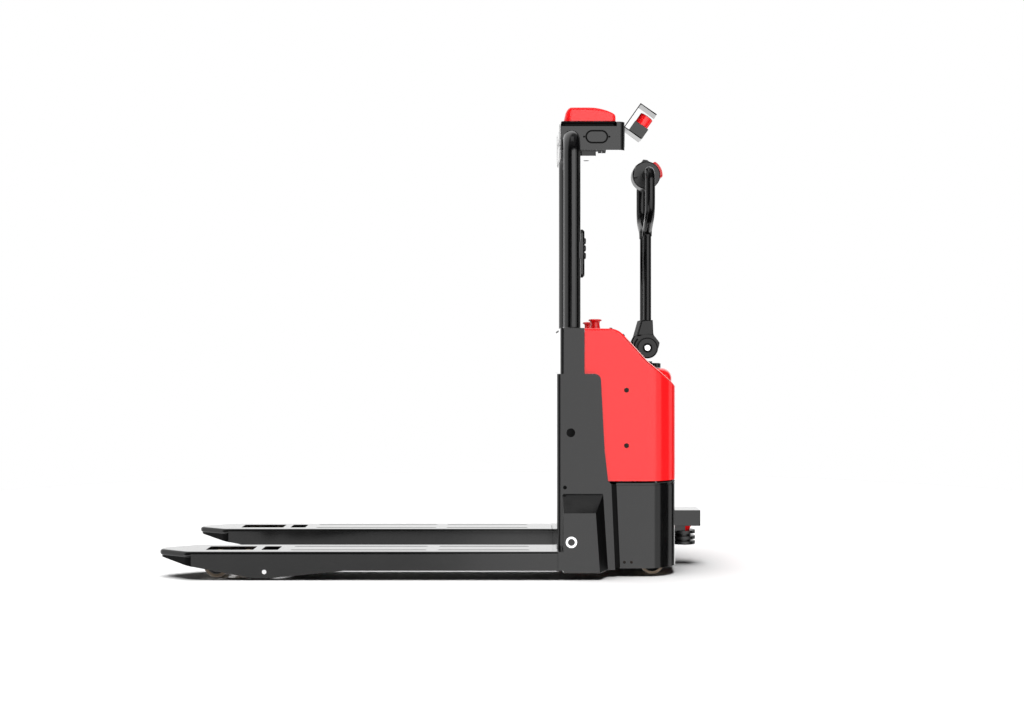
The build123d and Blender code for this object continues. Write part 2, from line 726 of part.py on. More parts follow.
def mast_bow():
    start = (MAST_X, -MAST_HALF, MAST_JOINT_Z)
    path = FilletPolyline(start, (MAST_X, -MAST_HALF, BAR_Z), (MAST_X, MAST_HALF, BAR_Z),
                          (MAST_X, MAST_HALF, MAST_JOINT_Z), radius=MAST_BEND)
    section = Circle(MAST_R) - Circle(MAST_R - MAST_WALL)
    return sweep(Plane(origin=start, z_dir=(0, 0, 1)) * section, path)


def head_housing():
    x0, x1 = HEAD_X
    low, top = HEAD_Z
    half, wall = HEAD_HALF, HEAD_WALL
    step_x, step_z = LID_X[1], LID_Z[0]
    side = outline([(x0, low), (x0, step_z), (step_x, step_z), (step_x, top), (x1, top), (x1, low)])
    plan = outline([(x0, -half), (x1, -half, HEAD_CORNER), (x1, half, HEAD_CORNER), (x0, half)])
    body = side_slab(side, -half, half) & plan_slab(plan, low, top)
    body -= block(x0 + wall, LID_X[1], -half + wall, half - wall, low + wall, top + OVER)
    body -= block(LID_X[1] - OVER, x1 - wall, -half + HEAD_CORNER, half - HEAD_CORNER, low + HEAD_REAR_FLOOR,
                  top - wall)
    body -= rod_y(MAST_R, MAST_X, BAR_Z, -half - OVER, half + OVER)
    window = Pos(WINDOW_X, WINDOW_Z) * SlotOverall(*WINDOW_SIZE)
    return body - side_slab(window, -half - OVER, half + OVER)


def lid_face(inset, corner):
    x0, x1 = LID_X
    return Pos((x0 + x1) / 2, 0) * RectangleRounded(x1 - x0 - 2 * inset, 2 * (HEAD_HALF - inset), corner)


def head_lid():
    neck = plan_slab(lid_face(LID_INSET, LID_INSET), LID_Z[0], LID_Z[1])
    return neck + plan_slab(lid_face(0, LID_ROUND), LID_Z[1], LID_Z[2])


def dome_block(inset):
    x0, x1 = DOME_X[0] + inset, DOME_X[1] - inset
    half = DOME_HALF - inset
    base, top = LID_Z[2], DOME_TOP - inset
    crown = half - DOME_SHOULDER
    front_r, crest_r, slope_r, rear_r = DOME_ROUNDS
    edge_r, shoulder_r = DOME_SIDE_ROUNDS
    profile = outline([
        (x0, base), (x0, DOME_FRONT_Z - inset, front_r), (DOME_CROWN_X[0], top, crest_r),
        (DOME_CROWN_X[1], top, slope_r), (DOME_REAR[0] - inset, DOME_REAR[1] - inset, rear_r), (x1, base)])
    across = outline([
        (-half, base), (half, base), (half, DOME_SIDE_Z, edge_r), (crown, top, shoulder_r),
        (-crown, top, shoulder_r), (-half, DOME_SIDE_Z, edge_r)])
    plan = Pos((x0 + x1) / 2, 0) * RectangleRounded(x1 - x0, 2 * half, DOME_CORNER - inset)
    return side_slab(profile, -half, half) & front_slab(across, x0, x1) & plan_slab(plan, base, top)


def head_dome():
    return dome_block(0) - dome_block(HEAD_WALL)


def head_face_plate():
    low, top = PLATE_Z
    low_r, top_r = PLATE_ROUND
    face = outline([(-PLATE_HALF, top, top_r), (-PLATE_HALF, low, low_r), (PLATE_HALF, low, low_r),
                    (PLATE_HALF, top, top_r)])
    return front_slab(face, HEAD_X[0] - HEAD_WALL, HEAD_X[0])


def window_face(inset):
    length, height = WINDOW_SIZE
    return Pos(WINDOW_X, WINDOW_Z) * SlotOverall(length - inset, height - inset)


def side_window():
    outer, inner = GROOVE_EDGES
    groove = window_face(outer) - window_face(inner)
    plug = side_slab(window_face(0), HEAD_HALF - WINDOW_DEPTH, HEAD_HALF + WINDOW_PROUD)
    return plug - side_slab(groove, HEAD_HALF - GROOVE_DEPTH, HEAD_HALF + OVER)


def underside_camera():
    top = HEAD_Z[0]
    body = block(*CAMERA_X, -CAMERA_HALF, CAMERA_HALF, CAMERA_LOW, top)
    body = fillet(body.edges().filter_by(Axis.Z), CAMERA_ROUND)
    body += block(CAMERA_X[1] - CAMERA_ROUND, GLAND_END_X, *GLAND_Y, GLAND_Z[1], top)
    for x in GLAND_X:
        body += rod_z(GLAND_R, x, sum(GLAND_Y) / 2, GLAND_Z[0], top)
    lens_x = sum(CAMERA_X) / 2
    return body - rod_z(LENS_R, lens_x, 0, CAMERA_LOW - OVER, CAMERA_LOW + LENS_DEPTH)


def lidar_place(shape):
    """Moves a shape from the scanner's own frame, U across and W up, onto the head."""
    x, z = LIDAR_CORNER
    return Pos(x, 0, z) * Rot(0, LIDAR_TILT, 0) * shape


def lidar_bracket():
    half, sheet = LIDAR_HALF, LIDAR_SHEET
    body = block(0, sheet, -half, half, -LIDAR_BACK, 0)
    body += block(0, LIDAR_LEG, -half, half, -sheet, 0)
    body += block(0, LIDAR_LEG + sheet, -half, half, -LIDAR_BACK, -LIDAR_BACK + sheet)
    body = lidar_place(body)
    return body + block(HEAD_X[1], HEAD_X[1] + 2 * sheet, -half, half, *LIDAR_TAB_Z)


def lidar_base():
    half = LIDAR_BASE_HALF
    body = block(*LIDAR_BASE_U, -half, half, -LIDAR_BACK + LIDAR_SHEET, LIDAR_BASE_TOP)
    return lidar_place(fillet(body.edges().filter_by(Axis.Z), LIDAR_BASE_ROUND))


def lidar_window():
    band = rod_z(LIDAR_EYE_R, LIDAR_EYE_U, 0, LIDAR_BASE_TOP, LIDAR_CAP[0])
    return lidar_place(band + rod_z(LIDAR_CAP_R, LIDAR_EYE_U, 0, *LIDAR_CAP))


# Operator panel

def panel_housing():
    x0, x1 = PANEL_X
    low, top = PANEL_Z
    face = Pos(0, (low + top) / 2) * RectangleRounded(2 * PANEL_HALF, top - low, PANEL_ROUND)
    body = front_slab(face, x0, x1)
    body = chamfer(body.faces().sort_by(Axis.X)[-1].edges(), PANEL_CHAMFER)
    end = MAST_HALF + PANEL_BAR_END
    room = MAST_HALF - PANEL_BAR_ROOM
    bar_low, bar_top = PANEL_BAR_Z
    bar = block(MAST_X + PANEL_BAR_IN, x0, -end, end, bar_low, bar_top)
    for side in SIDES:
        bar -= rod_z(MAST_R, MAST_X, side * MAST_HALF, bar_low - OVER, bar_top + OVER)
    bar -= block(MAST_X, x0 - PANEL_BAR_IN, -room, room, bar_low - OVER, bar_top + OVER)
    body += bar
    for z in BUTTON_Z.values():
        body -= rod_x(BUTTON_R + BUTTON_FIT, 0, z, x0 + BUTTON_FLOOR, x1 + OVER)
    return body


def panel_button(z):
    button = rod_x(BUTTON_R, 0, z, PANEL_X[0] + BUTTON_BACK, BUTTON_OUT_X)
    return fillet(button.faces().sort_by(Axis.X)[-1].edges(), BUTTON_ROUND)


# Drive unit covers

def cover_plan(half, inset):
    """The covers' outline from above: flat sides, round rear corners and a bowed rear."""
    rear = REAR_X - inset
    radius = REAR_CORNER + half - HOOD_HALF - inset
    side = half - inset
    tangent = side - radius
    knee = radius * math.sqrt(0.5)
    edges = [
        Line((HOOD_FRONT_X, -side), (rear - radius, -side)),
        ThreePointArc((rear - radius, -side), (rear - radius + knee, -tangent - knee), (rear, -tangent)),
        ThreePointArc((rear, -tangent), (rear + REAR_BOW, 0), (rear, tangent)),
        ThreePointArc((rear, tangent), (rear - radius + knee, tangent + knee), (rear - radius, side)),
        Line((rear - radius, side), (HOOD_FRONT_X, side)),
        Line((HOOD_FRONT_X, side), (HOOD_FRONT_X, -side))]
    return make_face(edges)


def hood_profile(inset):
    """The hood from the side: flat top, two slopes and an upright rear."""
    top = HOOD_Z[1] - inset
    slope = inset * SLOPE_STRETCH
    rear = REAR_X + 2 * REAR_BOW
    knee_x, knee_z = HOOD_KNEE
    return outline([
        (HOOD_FRONT_X, HOOD_Z[0]), (HOOD_FRONT_X, top), (HOOD_CREST_X - inset / 2, top, HOOD_CREST_R - inset),
        (knee_x - slope / 2, knee_z - slope / 2, HOOD_KNEE_R), (rear, HOOD_REAR_Z - slope),
        (rear, HOOD_Z[0])])


def tiller_trough(grow):
    """The room cut into the slope so that the turned tiller can swing down to either side."""
    low_y, low_z = TROUGH_LOW[0], TROUGH_LOW[1] - grow
    high_y, high_z = TROUGH_HIGH[0] + TROUGH_SPREAD * grow, TROUGH_HIGH[1] - grow
    bend = TROUGH_BEND
    face = outline([(-high_y, high_z), (-low_y, low_z, bend), (low_y, low_z, bend), (high_y, high_z)])
    return front_slab(face, TROUGH_FRONT_X - grow, REAR_X + 2 * REAR_BOW)


def hood_block(inset):
    body = plan_slab(cover_plan(HOOD_HALF, inset), *HOOD_Z)
    body = body & side_slab(hood_profile(inset), -HOOD_HALF, HOOD_HALF)
    if inset == 0:
        body = fillet(hood_rim(body), HOOD_EDGE)
    return body - tiller_trough(inset)


def hood_rim(body):
    """The edges along the hood's top and slope where they meet the sides and the rear."""
    faces = body.faces().filter_by(lambda face: face.normal_at().Z > RIM_TILT)
    edges = [edge for face in faces for edge in face.edges()]
    return [edge for edge in edges if abs(edge.center().Y) > OVER or edge.center().X > REAR_X - REAR_CORNER]


def hood_well(outside):
    """The round well for the tiller: a wall cut by the slope, and a hump where the slope falls away."""
    low = WELL_DECK - WELL_SKIRT
    inner = WELL_R - WELL_WALL
    wall = rod_z(WELL_R, STEER_X, 0, WELL_DECK - WELL_WALL, HOOD_Z[1]) & outside
    hump = rod_z(WELL_R, STEER_X, 0, low, WELL_DECK)
    hump = fillet(top_edges(hump), HUMP_ROUND)
    hollow = rod_z(inner, STEER_X, 0, low - OVER, WELL_DECK - WELL_WALL)
    hump -= fillet(top_edges(hollow), HUMP_ROUND - WELL_WALL)
    return (wall + hump) - rod_z(inner, STEER_X, 0, WELL_DECK, HOOD_Z[1] + OVER)


def hood():
    outside = hood_block(0)
    shell = outside - hood_block(COVER_WALL)
    shell -= rod_z(WELL_R - WELL_WALL, STEER_X, 0, WELL_DECK - WELL_SKIRT, HOOD_Z[1] + OVER)
    shell += hood_well(outside)
    shell -= rod_z(COLLAR_R + COLLAR_FIT, STEER_X, 0, WELL_DECK - HUMP_ROUND, WELL_DECK + OVER)
    stop_low, stop_top = HOOD_Z[1] - 2 * COVER_WALL, HOOD_Z[1] + OVER
    for side in SIDES:
        shell -= rod_z(STOP_STEM_R + STOP_FIT, STOP_X, side * STOP_Y, stop_low, stop_top)
    for place in HOOD_SCREWS:
        shell -= rod_y(SCREW_SHANK_R, *place, -HOOD_HALF - OVER, HOOD_HALF + OVER)
    return shell


def cover_ring(inset, wall, z0, z1):
    """A wall that follows the skirt's outline."""
    outside = plan_slab(cover_plan(SKIRT_HALF, inset), z0, z1)
    return outside - plan_slab(cover_plan(SKIRT_HALF, inset + wall), z0 - OVER, z1 + OVER)


def skirt():
    low, top = SKIRT_Z
    lip_low, lip_top = SKIRT_LIP_Z
    rear = REAR_X + 2 * REAR_BOW
    slant = outline([(SKIRT_FRONT_LOW_X, low), (SKIRT_FRONT_TOP_X, lip_top), (rear, lip_top), (rear, low)])
    body = cover_ring(0, COVER_WALL, low, top) + cover_ring(RIM_INSET, RIM_WALL, top - RIM_LAP, lip_top)
    body += cover_ring(0, COVER_WALL, lip_low, lip_top)
    body = body & side_slab(slant, -SKIRT_HALF, SKIRT_HALF)
    for place in SKIRT_SCREWS:
        body -= rod_y(SCREW_SHANK_R, *place, -SKIRT_HALF - OVER, SKIRT_HALF + OVER)
    return body


def cover_screw(place, face_y, head_r):
    head = rod_y(head_r, *place, face_y, face_y + SCREW_HEAD)
    socket = Pos(*place) * RegularPolygon(SCREW_SOCKET * head_r, 6)
    head -= side_slab(socket, face_y + SCREW_HEAD / 2, face_y + SCREW_HEAD + OVER)
    return head + rod_y(SCREW_SHANK_R, *place, face_y - SCREW_LENGTH, face_y)


def cover_screws():
    screws = []
    for place in HOOD_SCREWS:
        screws += pair(cover_screw(place, HOOD_HALF, SCREW_HEAD_R))
    for place in SKIRT_SCREWS:
        screws += pair(cover_screw(place, SKIRT_HALF, SKIRT_SCREW_R))
    return screws


# Chassis inside the covers

def half_chassis():
    """The frame panel, the caster shelf and the cover posts of the +Y side."""
    shelf_edge = HOOD_HALF - COVER_WALL
    skirt_edge = SKIRT_HALF - COVER_WALL
    shelf_low, shelf_top = SHELF_Z
    ledge_x, ledge_z = ledge_pin_place()
    slot = Pos(ledge_x + LEDGE_SLOT_SHIFT, ledge_z) * SlotOverall(*LEDGE_SLOT)
    body = block(*FRAME_X, *FRAME_Y, shelf_low, DECK_Z[1])
    body -= side_slab(slot, FRAME_Y[0] - OVER, FRAME_Y[1] + OVER)
    body += block(*SHELF_X, FRAME_Y[0], shelf_edge, *SHELF_Z)
    body += block(*POST_X, shelf_edge - POST_WALL, shelf_edge, shelf_low, POST_TOP)
    body += block(*SKIRT_POST_X, skirt_edge - SKIRT_POST_WALL, skirt_edge, SKIRT_POST_LOW, shelf_top)
    body -= rod_z(STEM_R + RUNNING_FIT, CASTER_X, CASTER_Y, shelf_low - OVER, shelf_top + OVER)
    for places, face_y in ((HOOD_SCREWS, HOOD_HALF), (SKIRT_SCREWS, SKIRT_HALF)):
        for place in places:
            body -= rod_y(SCREW_SHANK_R, *place, face_y - SCREW_LENGTH, face_y)
    return body


def chassis_frame():
    reach, half = TONGUE
    deck = block(*DECK_X, -FRAME_Y[1], FRAME_Y[1], *DECK_Z)
    deck += block(CYLINDER_X - reach, DECK_X[0] + OVER, -half, half, *DECK_Z)
    deck -= rod_z(TURRET_R + RUNNING_FIT, STEER_X, 0, DECK_Z[0] - OVER, DECK_Z[1] + OVER)
    return deck + half_chassis() + mirrored(half_chassis())


def pump_unit():
    x, y = PUMP_PLACE
    base = DECK_Z[1]
    half, near, far, height = PUMP_TANK
    tank = block(x - half, x + half, y - near, y + far, base, base + height)
    motor_r, motor_top = PUMP_MOTOR
    motor = rod_z(motor_r, x, y, base + height, base + motor_top)
    valve_half, valve_far, valve_near = PUMP_VALVE
    valve = block(x - valve_half, x + valve_half, y - valve_far, y - valve_near, base + PUMP_VALVE_Z[0],
                  base + PUMP_VALVE_Z[1])
    return fillet(tank.edges().filter_by(Axis.Z), PUMP_ROUND) + motor + valve


# Steering and drive wheel

def drive_housing():
    crown_low = 2 * WHEEL_R + WHEEL_GAP
    deck_top = DECK_Z[1]
    lip, lip_low, lip_top = TURRET_LIP
    body = rod_z(TURRET_R, STEER_X, 0, crown_low, deck_top + lip_low)
    body += rod_z(TURRET_R + lip, STEER_X, 0, deck_top + lip_low, deck_top + lip_top)
    leg = link_face((STEER_X, WHEEL_R), (STEER_X, crown_low), *CHEEK_RADII)
    cheek = side_slab(leg, *around(WHEEL_HALF, 1, *CHEEK_SIDE))
    body += cheek & rod_z(WELL_R, STEER_X, 0, 0, DECK_Z[0] - CHEEK_GAP)
    return body + rod_y(HUB_R, STEER_X, WHEEL_R, -WHEEL_HALF, WHEEL_HALF + CHEEK_SIDE[0] + OVER)


def drive_motor():
    low = DECK_Z[1] + TURRET_LIP[2]
    body = rod_z(MOTOR_R, STEER_X, 0, low, low + MOTOR_HEIGHT)
    for level in range(FIN_COUNT):
        z = low + FIN_START + FIN_PITCH * level
        ring = rod_z(MOTOR_R + OVER, STEER_X, 0, z, z + FIN_GAP)
        body -= ring - rod_z(MOTOR_R - FIN_DEPTH, STEER_X, 0, z - OVER, z + FIN_GAP + OVER)
    return body


def drive_wheel():
    rim, hub, depth = DISH
    tread = rod_y(WHEEL_R, STEER_X, WHEEL_R, -WHEEL_HALF, WHEEL_HALF)
    tread = fillet(round_edges(tread), TYRE_ROUND)
    dish = rod_y(WHEEL_R - rim, STEER_X, WHEEL_R, -WHEEL_HALF - OVER, -WHEEL_HALF + depth)
    dish -= rod_y(hub, STEER_X, WHEEL_R, -WHEEL_HALF - 2 * OVER, -WHEEL_HALF + depth + OVER)
    bore = rod_y(HUB_R + RUNNING_FIT, STEER_X, WHEEL_R, -WHEEL_HALF - OVER, WHEEL_HALF + OVER)
    return tread - dish - bore


def tiller_base():
    motor_top = DECK_Z[1] + TURRET_LIP[2] + MOTOR_HEIGHT
    column = rod_z(COLUMN_R, STEER_X, 0, motor_top, WELL_DECK + OVER)
    collar = rod_z(COLLAR_R, STEER_X, 0, WELL_DECK + OVER, COLLAR_TOP)
    collar = fillet(top_edges(collar), COLLAR_ROUND)
    collar += rod_z(HUB_RING_R, STEER_X, 0, WELL_DECK + OVER, HUB_RING_TOP)
    foot_z = COLLAR_TOP - OVER
    lug = outline([(LUG_FOOT[0], foot_z), (LUG_FOOT[1], foot_z), (LUG_NECK_X, TILT_Z - LUG_RISE, LUG_NECK_R),
                   (TILT_X, TILT_Z - LUG_RISE), (TILT_X, TILT_Z + LUG_RISE), (LUG_BACK_X, TILT_Z)])
    ear = side_slab(lug, -LUG_HALF, LUG_HALF) + rod_y(LUG_EYE_R, TILT_X, TILT_Z, -LUG_HALF, LUG_HALF)
    return column + collar + ear - rod_y(TILT_PIN_R, TILT_X, TILT_Z, -LUG_HALF - OVER, LUG_HALF + OVER)


def tilt_pin():
    pin = rod_y(TILT_PIN_R, TILT_X, TILT_Z, -TILT_PIN_HALF, TILT_PIN_HALF)
    return chamfer(round_edges(pin), PIN_CHAMFER)


# Tiller

def tiller_joint():
    body = side_slab(outline(JOINT_BRIDGE), -JOINT_HALF, JOINT_HALF)
    ends = body.faces().sort_by(Axis.Y)
    body = fillet(ends[0].edges() + ends[-1].edges(), JOINT_ROUND)
    body -= rod_y(JOINT_ARCH_R, TILT_X, TILT_Z, -JOINT_HALF - OVER, JOINT_HALF + OVER)
    cheek = outline(JOINT_CHEEK)
    for side in SIDES:
        body += side_slab(cheek, *span(side, *JOINT_CHEEK_SIDE))
        body += rod_y(JOINT_DISC_R, TILT_X, TILT_Z, *span(side, JOINT_CHEEK_SIDE[1] - OVER, JOINT_DISC_END))
        body += rod_y(JOINT_RING_R, TILT_X, TILT_Z, *span(side, JOINT_DISC_END - OVER, JOINT_RING_END))
        body -= rod_z(TUBE_R, TILLER_X, side * TUBE_HALF, TUBE_LOW, JOINT_BRIDGE[0][1] + OVER)
    return body - rod_y(TILT_PIN_R + RUNNING_FIT, TILT_X, TILT_Z, -JOINT_HALF, JOINT_HALF)


def tube_path(low):
    """The middle line of one tiller tube, from a height up its stem to the face of the drum."""
    return FilletPolyline(
        (TILLER_X, TUBE_HALF, low), (TILLER_X, TUBE_HALF, LOOP_LOW), (TILLER_X, LOOP_HALF, LOOP_WIDE),
        (TILLER_X, LOOP_HALF, HEAD_AXIS_Z), (TILLER_X, DRUM_HALF, HEAD_AXIS_Z), radius=list(LOOP_BENDS))


def along_tube(section, low):
    return sweep(Plane(origin=(TILLER_X, TUBE_HALF, low), z_dir=(0, 0, 1)) * section, tube_path(low))


def tiller_tube():
    return along_tube(Circle(TUBE_R) - Circle(TUBE_R - TUBE_WALL), TUBE_LOW)


def tiller_grip():
    return along_tube(Circle(GRIP_R) - Circle(TUBE_R), GRIP_LOW)


def belly_frame():
    """The plane of the belly button: its normal points out of the drum."""
    angle = math.radians(BELLY_ANGLE)
    outward = Vector(math.cos(angle), 0, math.sin(angle))
    return Plane(origin=(TILLER_X, 0, HEAD_AXIS_Z), x_dir=(0, 1, 0), z_dir=outward)


def drum_rod(radius, half):
    return rod_y(radius, TILLER_X, HEAD_AXIS_Z, -half, half)


def tiller_head():
    drum = drum_rod(DRUM_R, DRUM_HALF)
    drum = fillet(round_edges(drum), DRUM_ROUND)
    fin = outline([(TILLER_X + point[0], HEAD_AXIS_Z + point[1], *point[2:]) for point in FIN_POINTS])
    drum += side_slab(fin, -FIN_HALF, FIN_HALF)
    drum -= drum_rod(DRUM_R - DRUM_WALL, DRUM_HALF - DRUM_WALL)
    width, height = [size + BELLY_FIT for size in BELLY_SIZE]
    drum -= extrude(belly_frame().offset(BELLY_ROOM) * Rectangle(width, height), DRUM_R)
    return drum - rod_y(THROTTLE_R + RUNNING_FIT, THROTTLE_X, THROTTLE_Z, -DRUM_HALF - OVER, DRUM_HALF + OVER)


def belly_button():
    cushion = drum_rod(DRUM_R + BELLY_PROUD, BELLY_SIZE[0] / 2)
    face = belly_frame().offset(BELLY_BACK) * RectangleRounded(*BELLY_SIZE, BELLY_ROUND)
    return cushion & extrude(face, DRUM_R)


def throttle():
    end = DRUM_HALF + THROTTLE_SPAN
    body = rod_y(THROTTLE_R, THROTTLE_X, THROTTLE_Z, -end, end)
    wing = outline([(THROTTLE_X + point[0], THROTTLE_Z + point[1], *point[2:]) for point in THROTTLE_WING])
    for side in SIDES:
        body += side_slab(wing, *span(side, DRUM_HALF + THROTTLE_GAP, end))
    return body


# Small controls, casters and the rear scanner

def emergency_stop():
    low, deck = HOOD_Z[1] - STOP_FOOT, HOOD_Z[1]
    neck_top, rim_low, rim_top = STOP_CAP_Z
    lip = deck + STOP_LIP
    points = [(0, low), (STOP_STEM_R, low), (STOP_STEM_R, lip), (STOP_NECK_R, lip), (STOP_NECK_R, neck_top),
              (STOP_CAP_R, rim_low), (STOP_CAP_R, rim_top), (STOP_CAP_TOP_R, STOP_TOP), (0, STOP_TOP)]
    return Pos(STOP_X, STOP_Y, 0) * revolve(Plane.XZ * outline(points), Axis.Z)


def caster_fork():
    wheel_x = CASTER_X + CASTER_TRAIL
    crown_low = 2 * CASTER_R + CASTER_GAP
    body = rod_z(STEM_R, CASTER_X, CASTER_Y, crown_low, SHELF_Z[1] + STEM_END)
    body += rod_z(CASTER_CROWN_R, CASTER_X, CASTER_Y, crown_low, SHELF_Z[0] - CHEEK_GAP)
    top_x, top_z = CASTER_LEG_TOP
    leg = link_face((wheel_x, CASTER_R), (CASTER_X + top_x, crown_low + top_z), *CASTER_LEG)
    room = rod_z(2 * CASTER_R, CASTER_X, CASTER_Y, 0, SHELF_Z[0] - CHEEK_GAP)
    for side in SIDES:
        body += side_slab(leg, *around(CASTER_Y + side * CASTER_HALF, side, *CASTER_LEG_SIDE)) & room
    end = CASTER_HALF + CASTER_LEG_SIDE[1]
    return body + rod_y(CASTER_AXLE_R, wheel_x, CASTER_R, CASTER_Y - end, CASTER_Y + end)


def caster_wheel():
    x = CASTER_X + CASTER_TRAIL
    tread = rod_y(CASTER_R, x, CASTER_R, CASTER_Y - CASTER_HALF, CASTER_Y + CASTER_HALF)
    tread = fillet(round_edges(tread), CASTER_ROUND)
    return tread - rod_y(CASTER_AXLE_R + RUNNING_FIT, x, CASTER_R, 0, FORK_OUT)


def scanner_shield():
    wall, half = SHIELD_WALL, SHIELD_HALF
    low, top = SHIELD_Z
    front = REAR_X + REAR_BOW
    face = outline([(front, -half), (SHIELD_END_X, -half, SHIELD_ROUND), (SHIELD_END_X, half, SHIELD_ROUND),
                    (front, half)])
    room = block(front - OVER, SHIELD_END_X - wall, -half + wall, half - wall, low + wall, top - wall)
    return plan_slab(face, low, top) - room


def scanner_foot(grow):
    half = SCANNER_FOOT_HALF + grow
    return block(SCANNER_FOOT_X[0], SCANNER_FOOT_X[1] + grow, -half, half, SCANNER_FOOT_LOW, SHIELD_Z[0])


def safety_scanner():
    body = rod_z(SCANNER_CORE_R, SCANNER_X, 0, SCANNER_LEVELS[0], SCANNER_LEVELS[-1])
    for z in SCANNER_LEVELS:
        body += rod_z(SCANNER_R, SCANNER_X, 0, z, z + SCANNER_DISC)
    return body + scanner_foot(0)


def scanner_ring():
    low = SCANNER_LEVELS[-1] + SCANNER_DISC
    faces = []
    for z, radius in zip((low, SHIELD_Z[0]), RING_RADII):
        faces.append(Plane.XY.offset(z) * Pos(SCANNER_X, 0) * Circle(radius))
    return loft(faces) - scanner_foot(RUNNING_FIT)


# Every node of the truck, by name

def nodes():
    parts = {
        "fork_tips": pair(fork_tip()),
        "pivot_pins": pair(arm_pivot_pin()),
        "frame_shell": frame_shell(),
        "root_boxes": pair(root_box()),
        "crank_bushes": pair(crank_bush()),
        "battery_pack": battery_pack(),
        "bell_crank": bell_crank(),
        "push_rods": pair(push_rod()),
        "lift_barrel": lift_barrel(),
        "lift_rod": lift_rod(),
        "mast_posts": pair(mast_post()),
        "mast_bow": mast_bow(),
        "head_housing": head_housing(),
        "head_lid": head_lid(),
        "head_dome": head_dome(),
        "head_face_plate": head_face_plate(),
        "side_windows": pair(side_window()),
        "underside_camera": underside_camera(),
        "lidar_bracket": lidar_bracket(),
        "lidar_base": lidar_base(),
        "lidar_window": lidar_window(),
        "panel_housing": panel_housing(),
        "hood": hood(),
        "skirt": skirt(),
        "cover_screws": cover_screws(),
        "chassis_frame": chassis_frame(),
        "pump_unit": pump_unit(),
        "drive_housing": drive_housing(),
        "drive_motor": drive_motor(),
        "drive_wheel": drive_wheel(),
        "tiller_base": tiller_base(),
        "tilt_pin": tilt_pin(),
        "tiller_joint": tiller_joint(),
        "tiller_tubes": pair(tiller_tube()),
        "tiller_grips": pair(tiller_grip()),
        "tiller_head": tiller_head(),
        "belly_button": belly_button(),
        "throttle": throttle(),
        "scanner_shield": scanner_shield(),
        "safety_scanner": safety_scanner(),
        "scanner_ring": scanner_ring()}
    for level, z in BUTTON_Z.items():
        parts["panel_button_" + level] = panel_button(z)
    handed = {
        "fork": fork(), "load_arm": load_arm(), "bogie": bogie(), "front_roller": roller(-1),
        "rear_roller": roller(1), "emergency_stop": emergency_stop(), "caster_fork": caster_fork(),
        "caster_wheel": caster_wheel()}
    for name, shape in handed.items():
        for prefix, side in (("right_", -1), ("left_", 1)):
            parts[prefix + name] = on_side(shape, side)
    return parts


def main():
    os.makedirs("parts", exist_ok=True)
    for name, shape in nodes().items():
        solids = shape if isinstance(shape, list) else [shape]
        node = Compound(children=[solid for piece in solids for solid in piece.solids()])
        node.label = name
        export_step(node, os.path.join("parts", name + ".step"))


main()
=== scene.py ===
import json
import math

import bmesh
import bpy
from mathutils import Matrix, Vector


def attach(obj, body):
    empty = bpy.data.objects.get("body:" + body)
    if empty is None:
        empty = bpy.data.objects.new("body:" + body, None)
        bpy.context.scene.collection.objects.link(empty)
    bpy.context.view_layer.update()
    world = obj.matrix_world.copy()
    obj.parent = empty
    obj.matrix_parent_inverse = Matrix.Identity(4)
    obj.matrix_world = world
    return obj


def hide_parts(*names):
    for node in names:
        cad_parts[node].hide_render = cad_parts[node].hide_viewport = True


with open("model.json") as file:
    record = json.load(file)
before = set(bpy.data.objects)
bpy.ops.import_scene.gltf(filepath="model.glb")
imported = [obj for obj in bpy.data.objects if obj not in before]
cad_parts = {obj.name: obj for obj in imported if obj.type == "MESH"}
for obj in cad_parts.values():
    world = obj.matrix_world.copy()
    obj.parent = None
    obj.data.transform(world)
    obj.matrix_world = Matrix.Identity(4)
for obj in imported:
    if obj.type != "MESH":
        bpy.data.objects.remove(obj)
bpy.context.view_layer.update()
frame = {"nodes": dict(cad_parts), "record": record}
NODES = frame["nodes"]
BODY_OF = {node: body for body, nodes in frame["record"]["behaviour"]["bodies"].items() for node in nodes}
SLOT_OF = {part["node"]: part["material_slot"] for part in frame["record"]["subparts"]}

# Camera: the photograph is a straight side view from 4.3 m away
IMAGE_WIDTH = 1024
FOCAL_PIXELS = 1387
SENSOR_MM = 36.0
VIEW_END = 100.0
EYE = (0.2215, -4.2925, 0.6346)

# Studio, in metres
FLOOR_RADIUS = 3.3
FLOOR_MIDDLE = (0.2, 0, 0)
FLOOR_TONES = ((0.74, 0.74, 0.74), (0.76, 0.76, 0.76))
FLOOR_ROUGHNESS = 0.8
FLOOR_SPECULAR = 0.1
WHITE = (1.0, 1.0, 1.0, 1.0)
WALL_FACING = (-0.695, 0.719, 0.0)
WALL_EDGE = (0.1, 0.38)
WALL_RADIANCE = 1.1
ROOM_RADIANCE = 0.012
WASH_SPREAD = 46.0
WASH_STRENGTH = 5.0
WASH_FALL = (0.12, 0.05, -1.0)
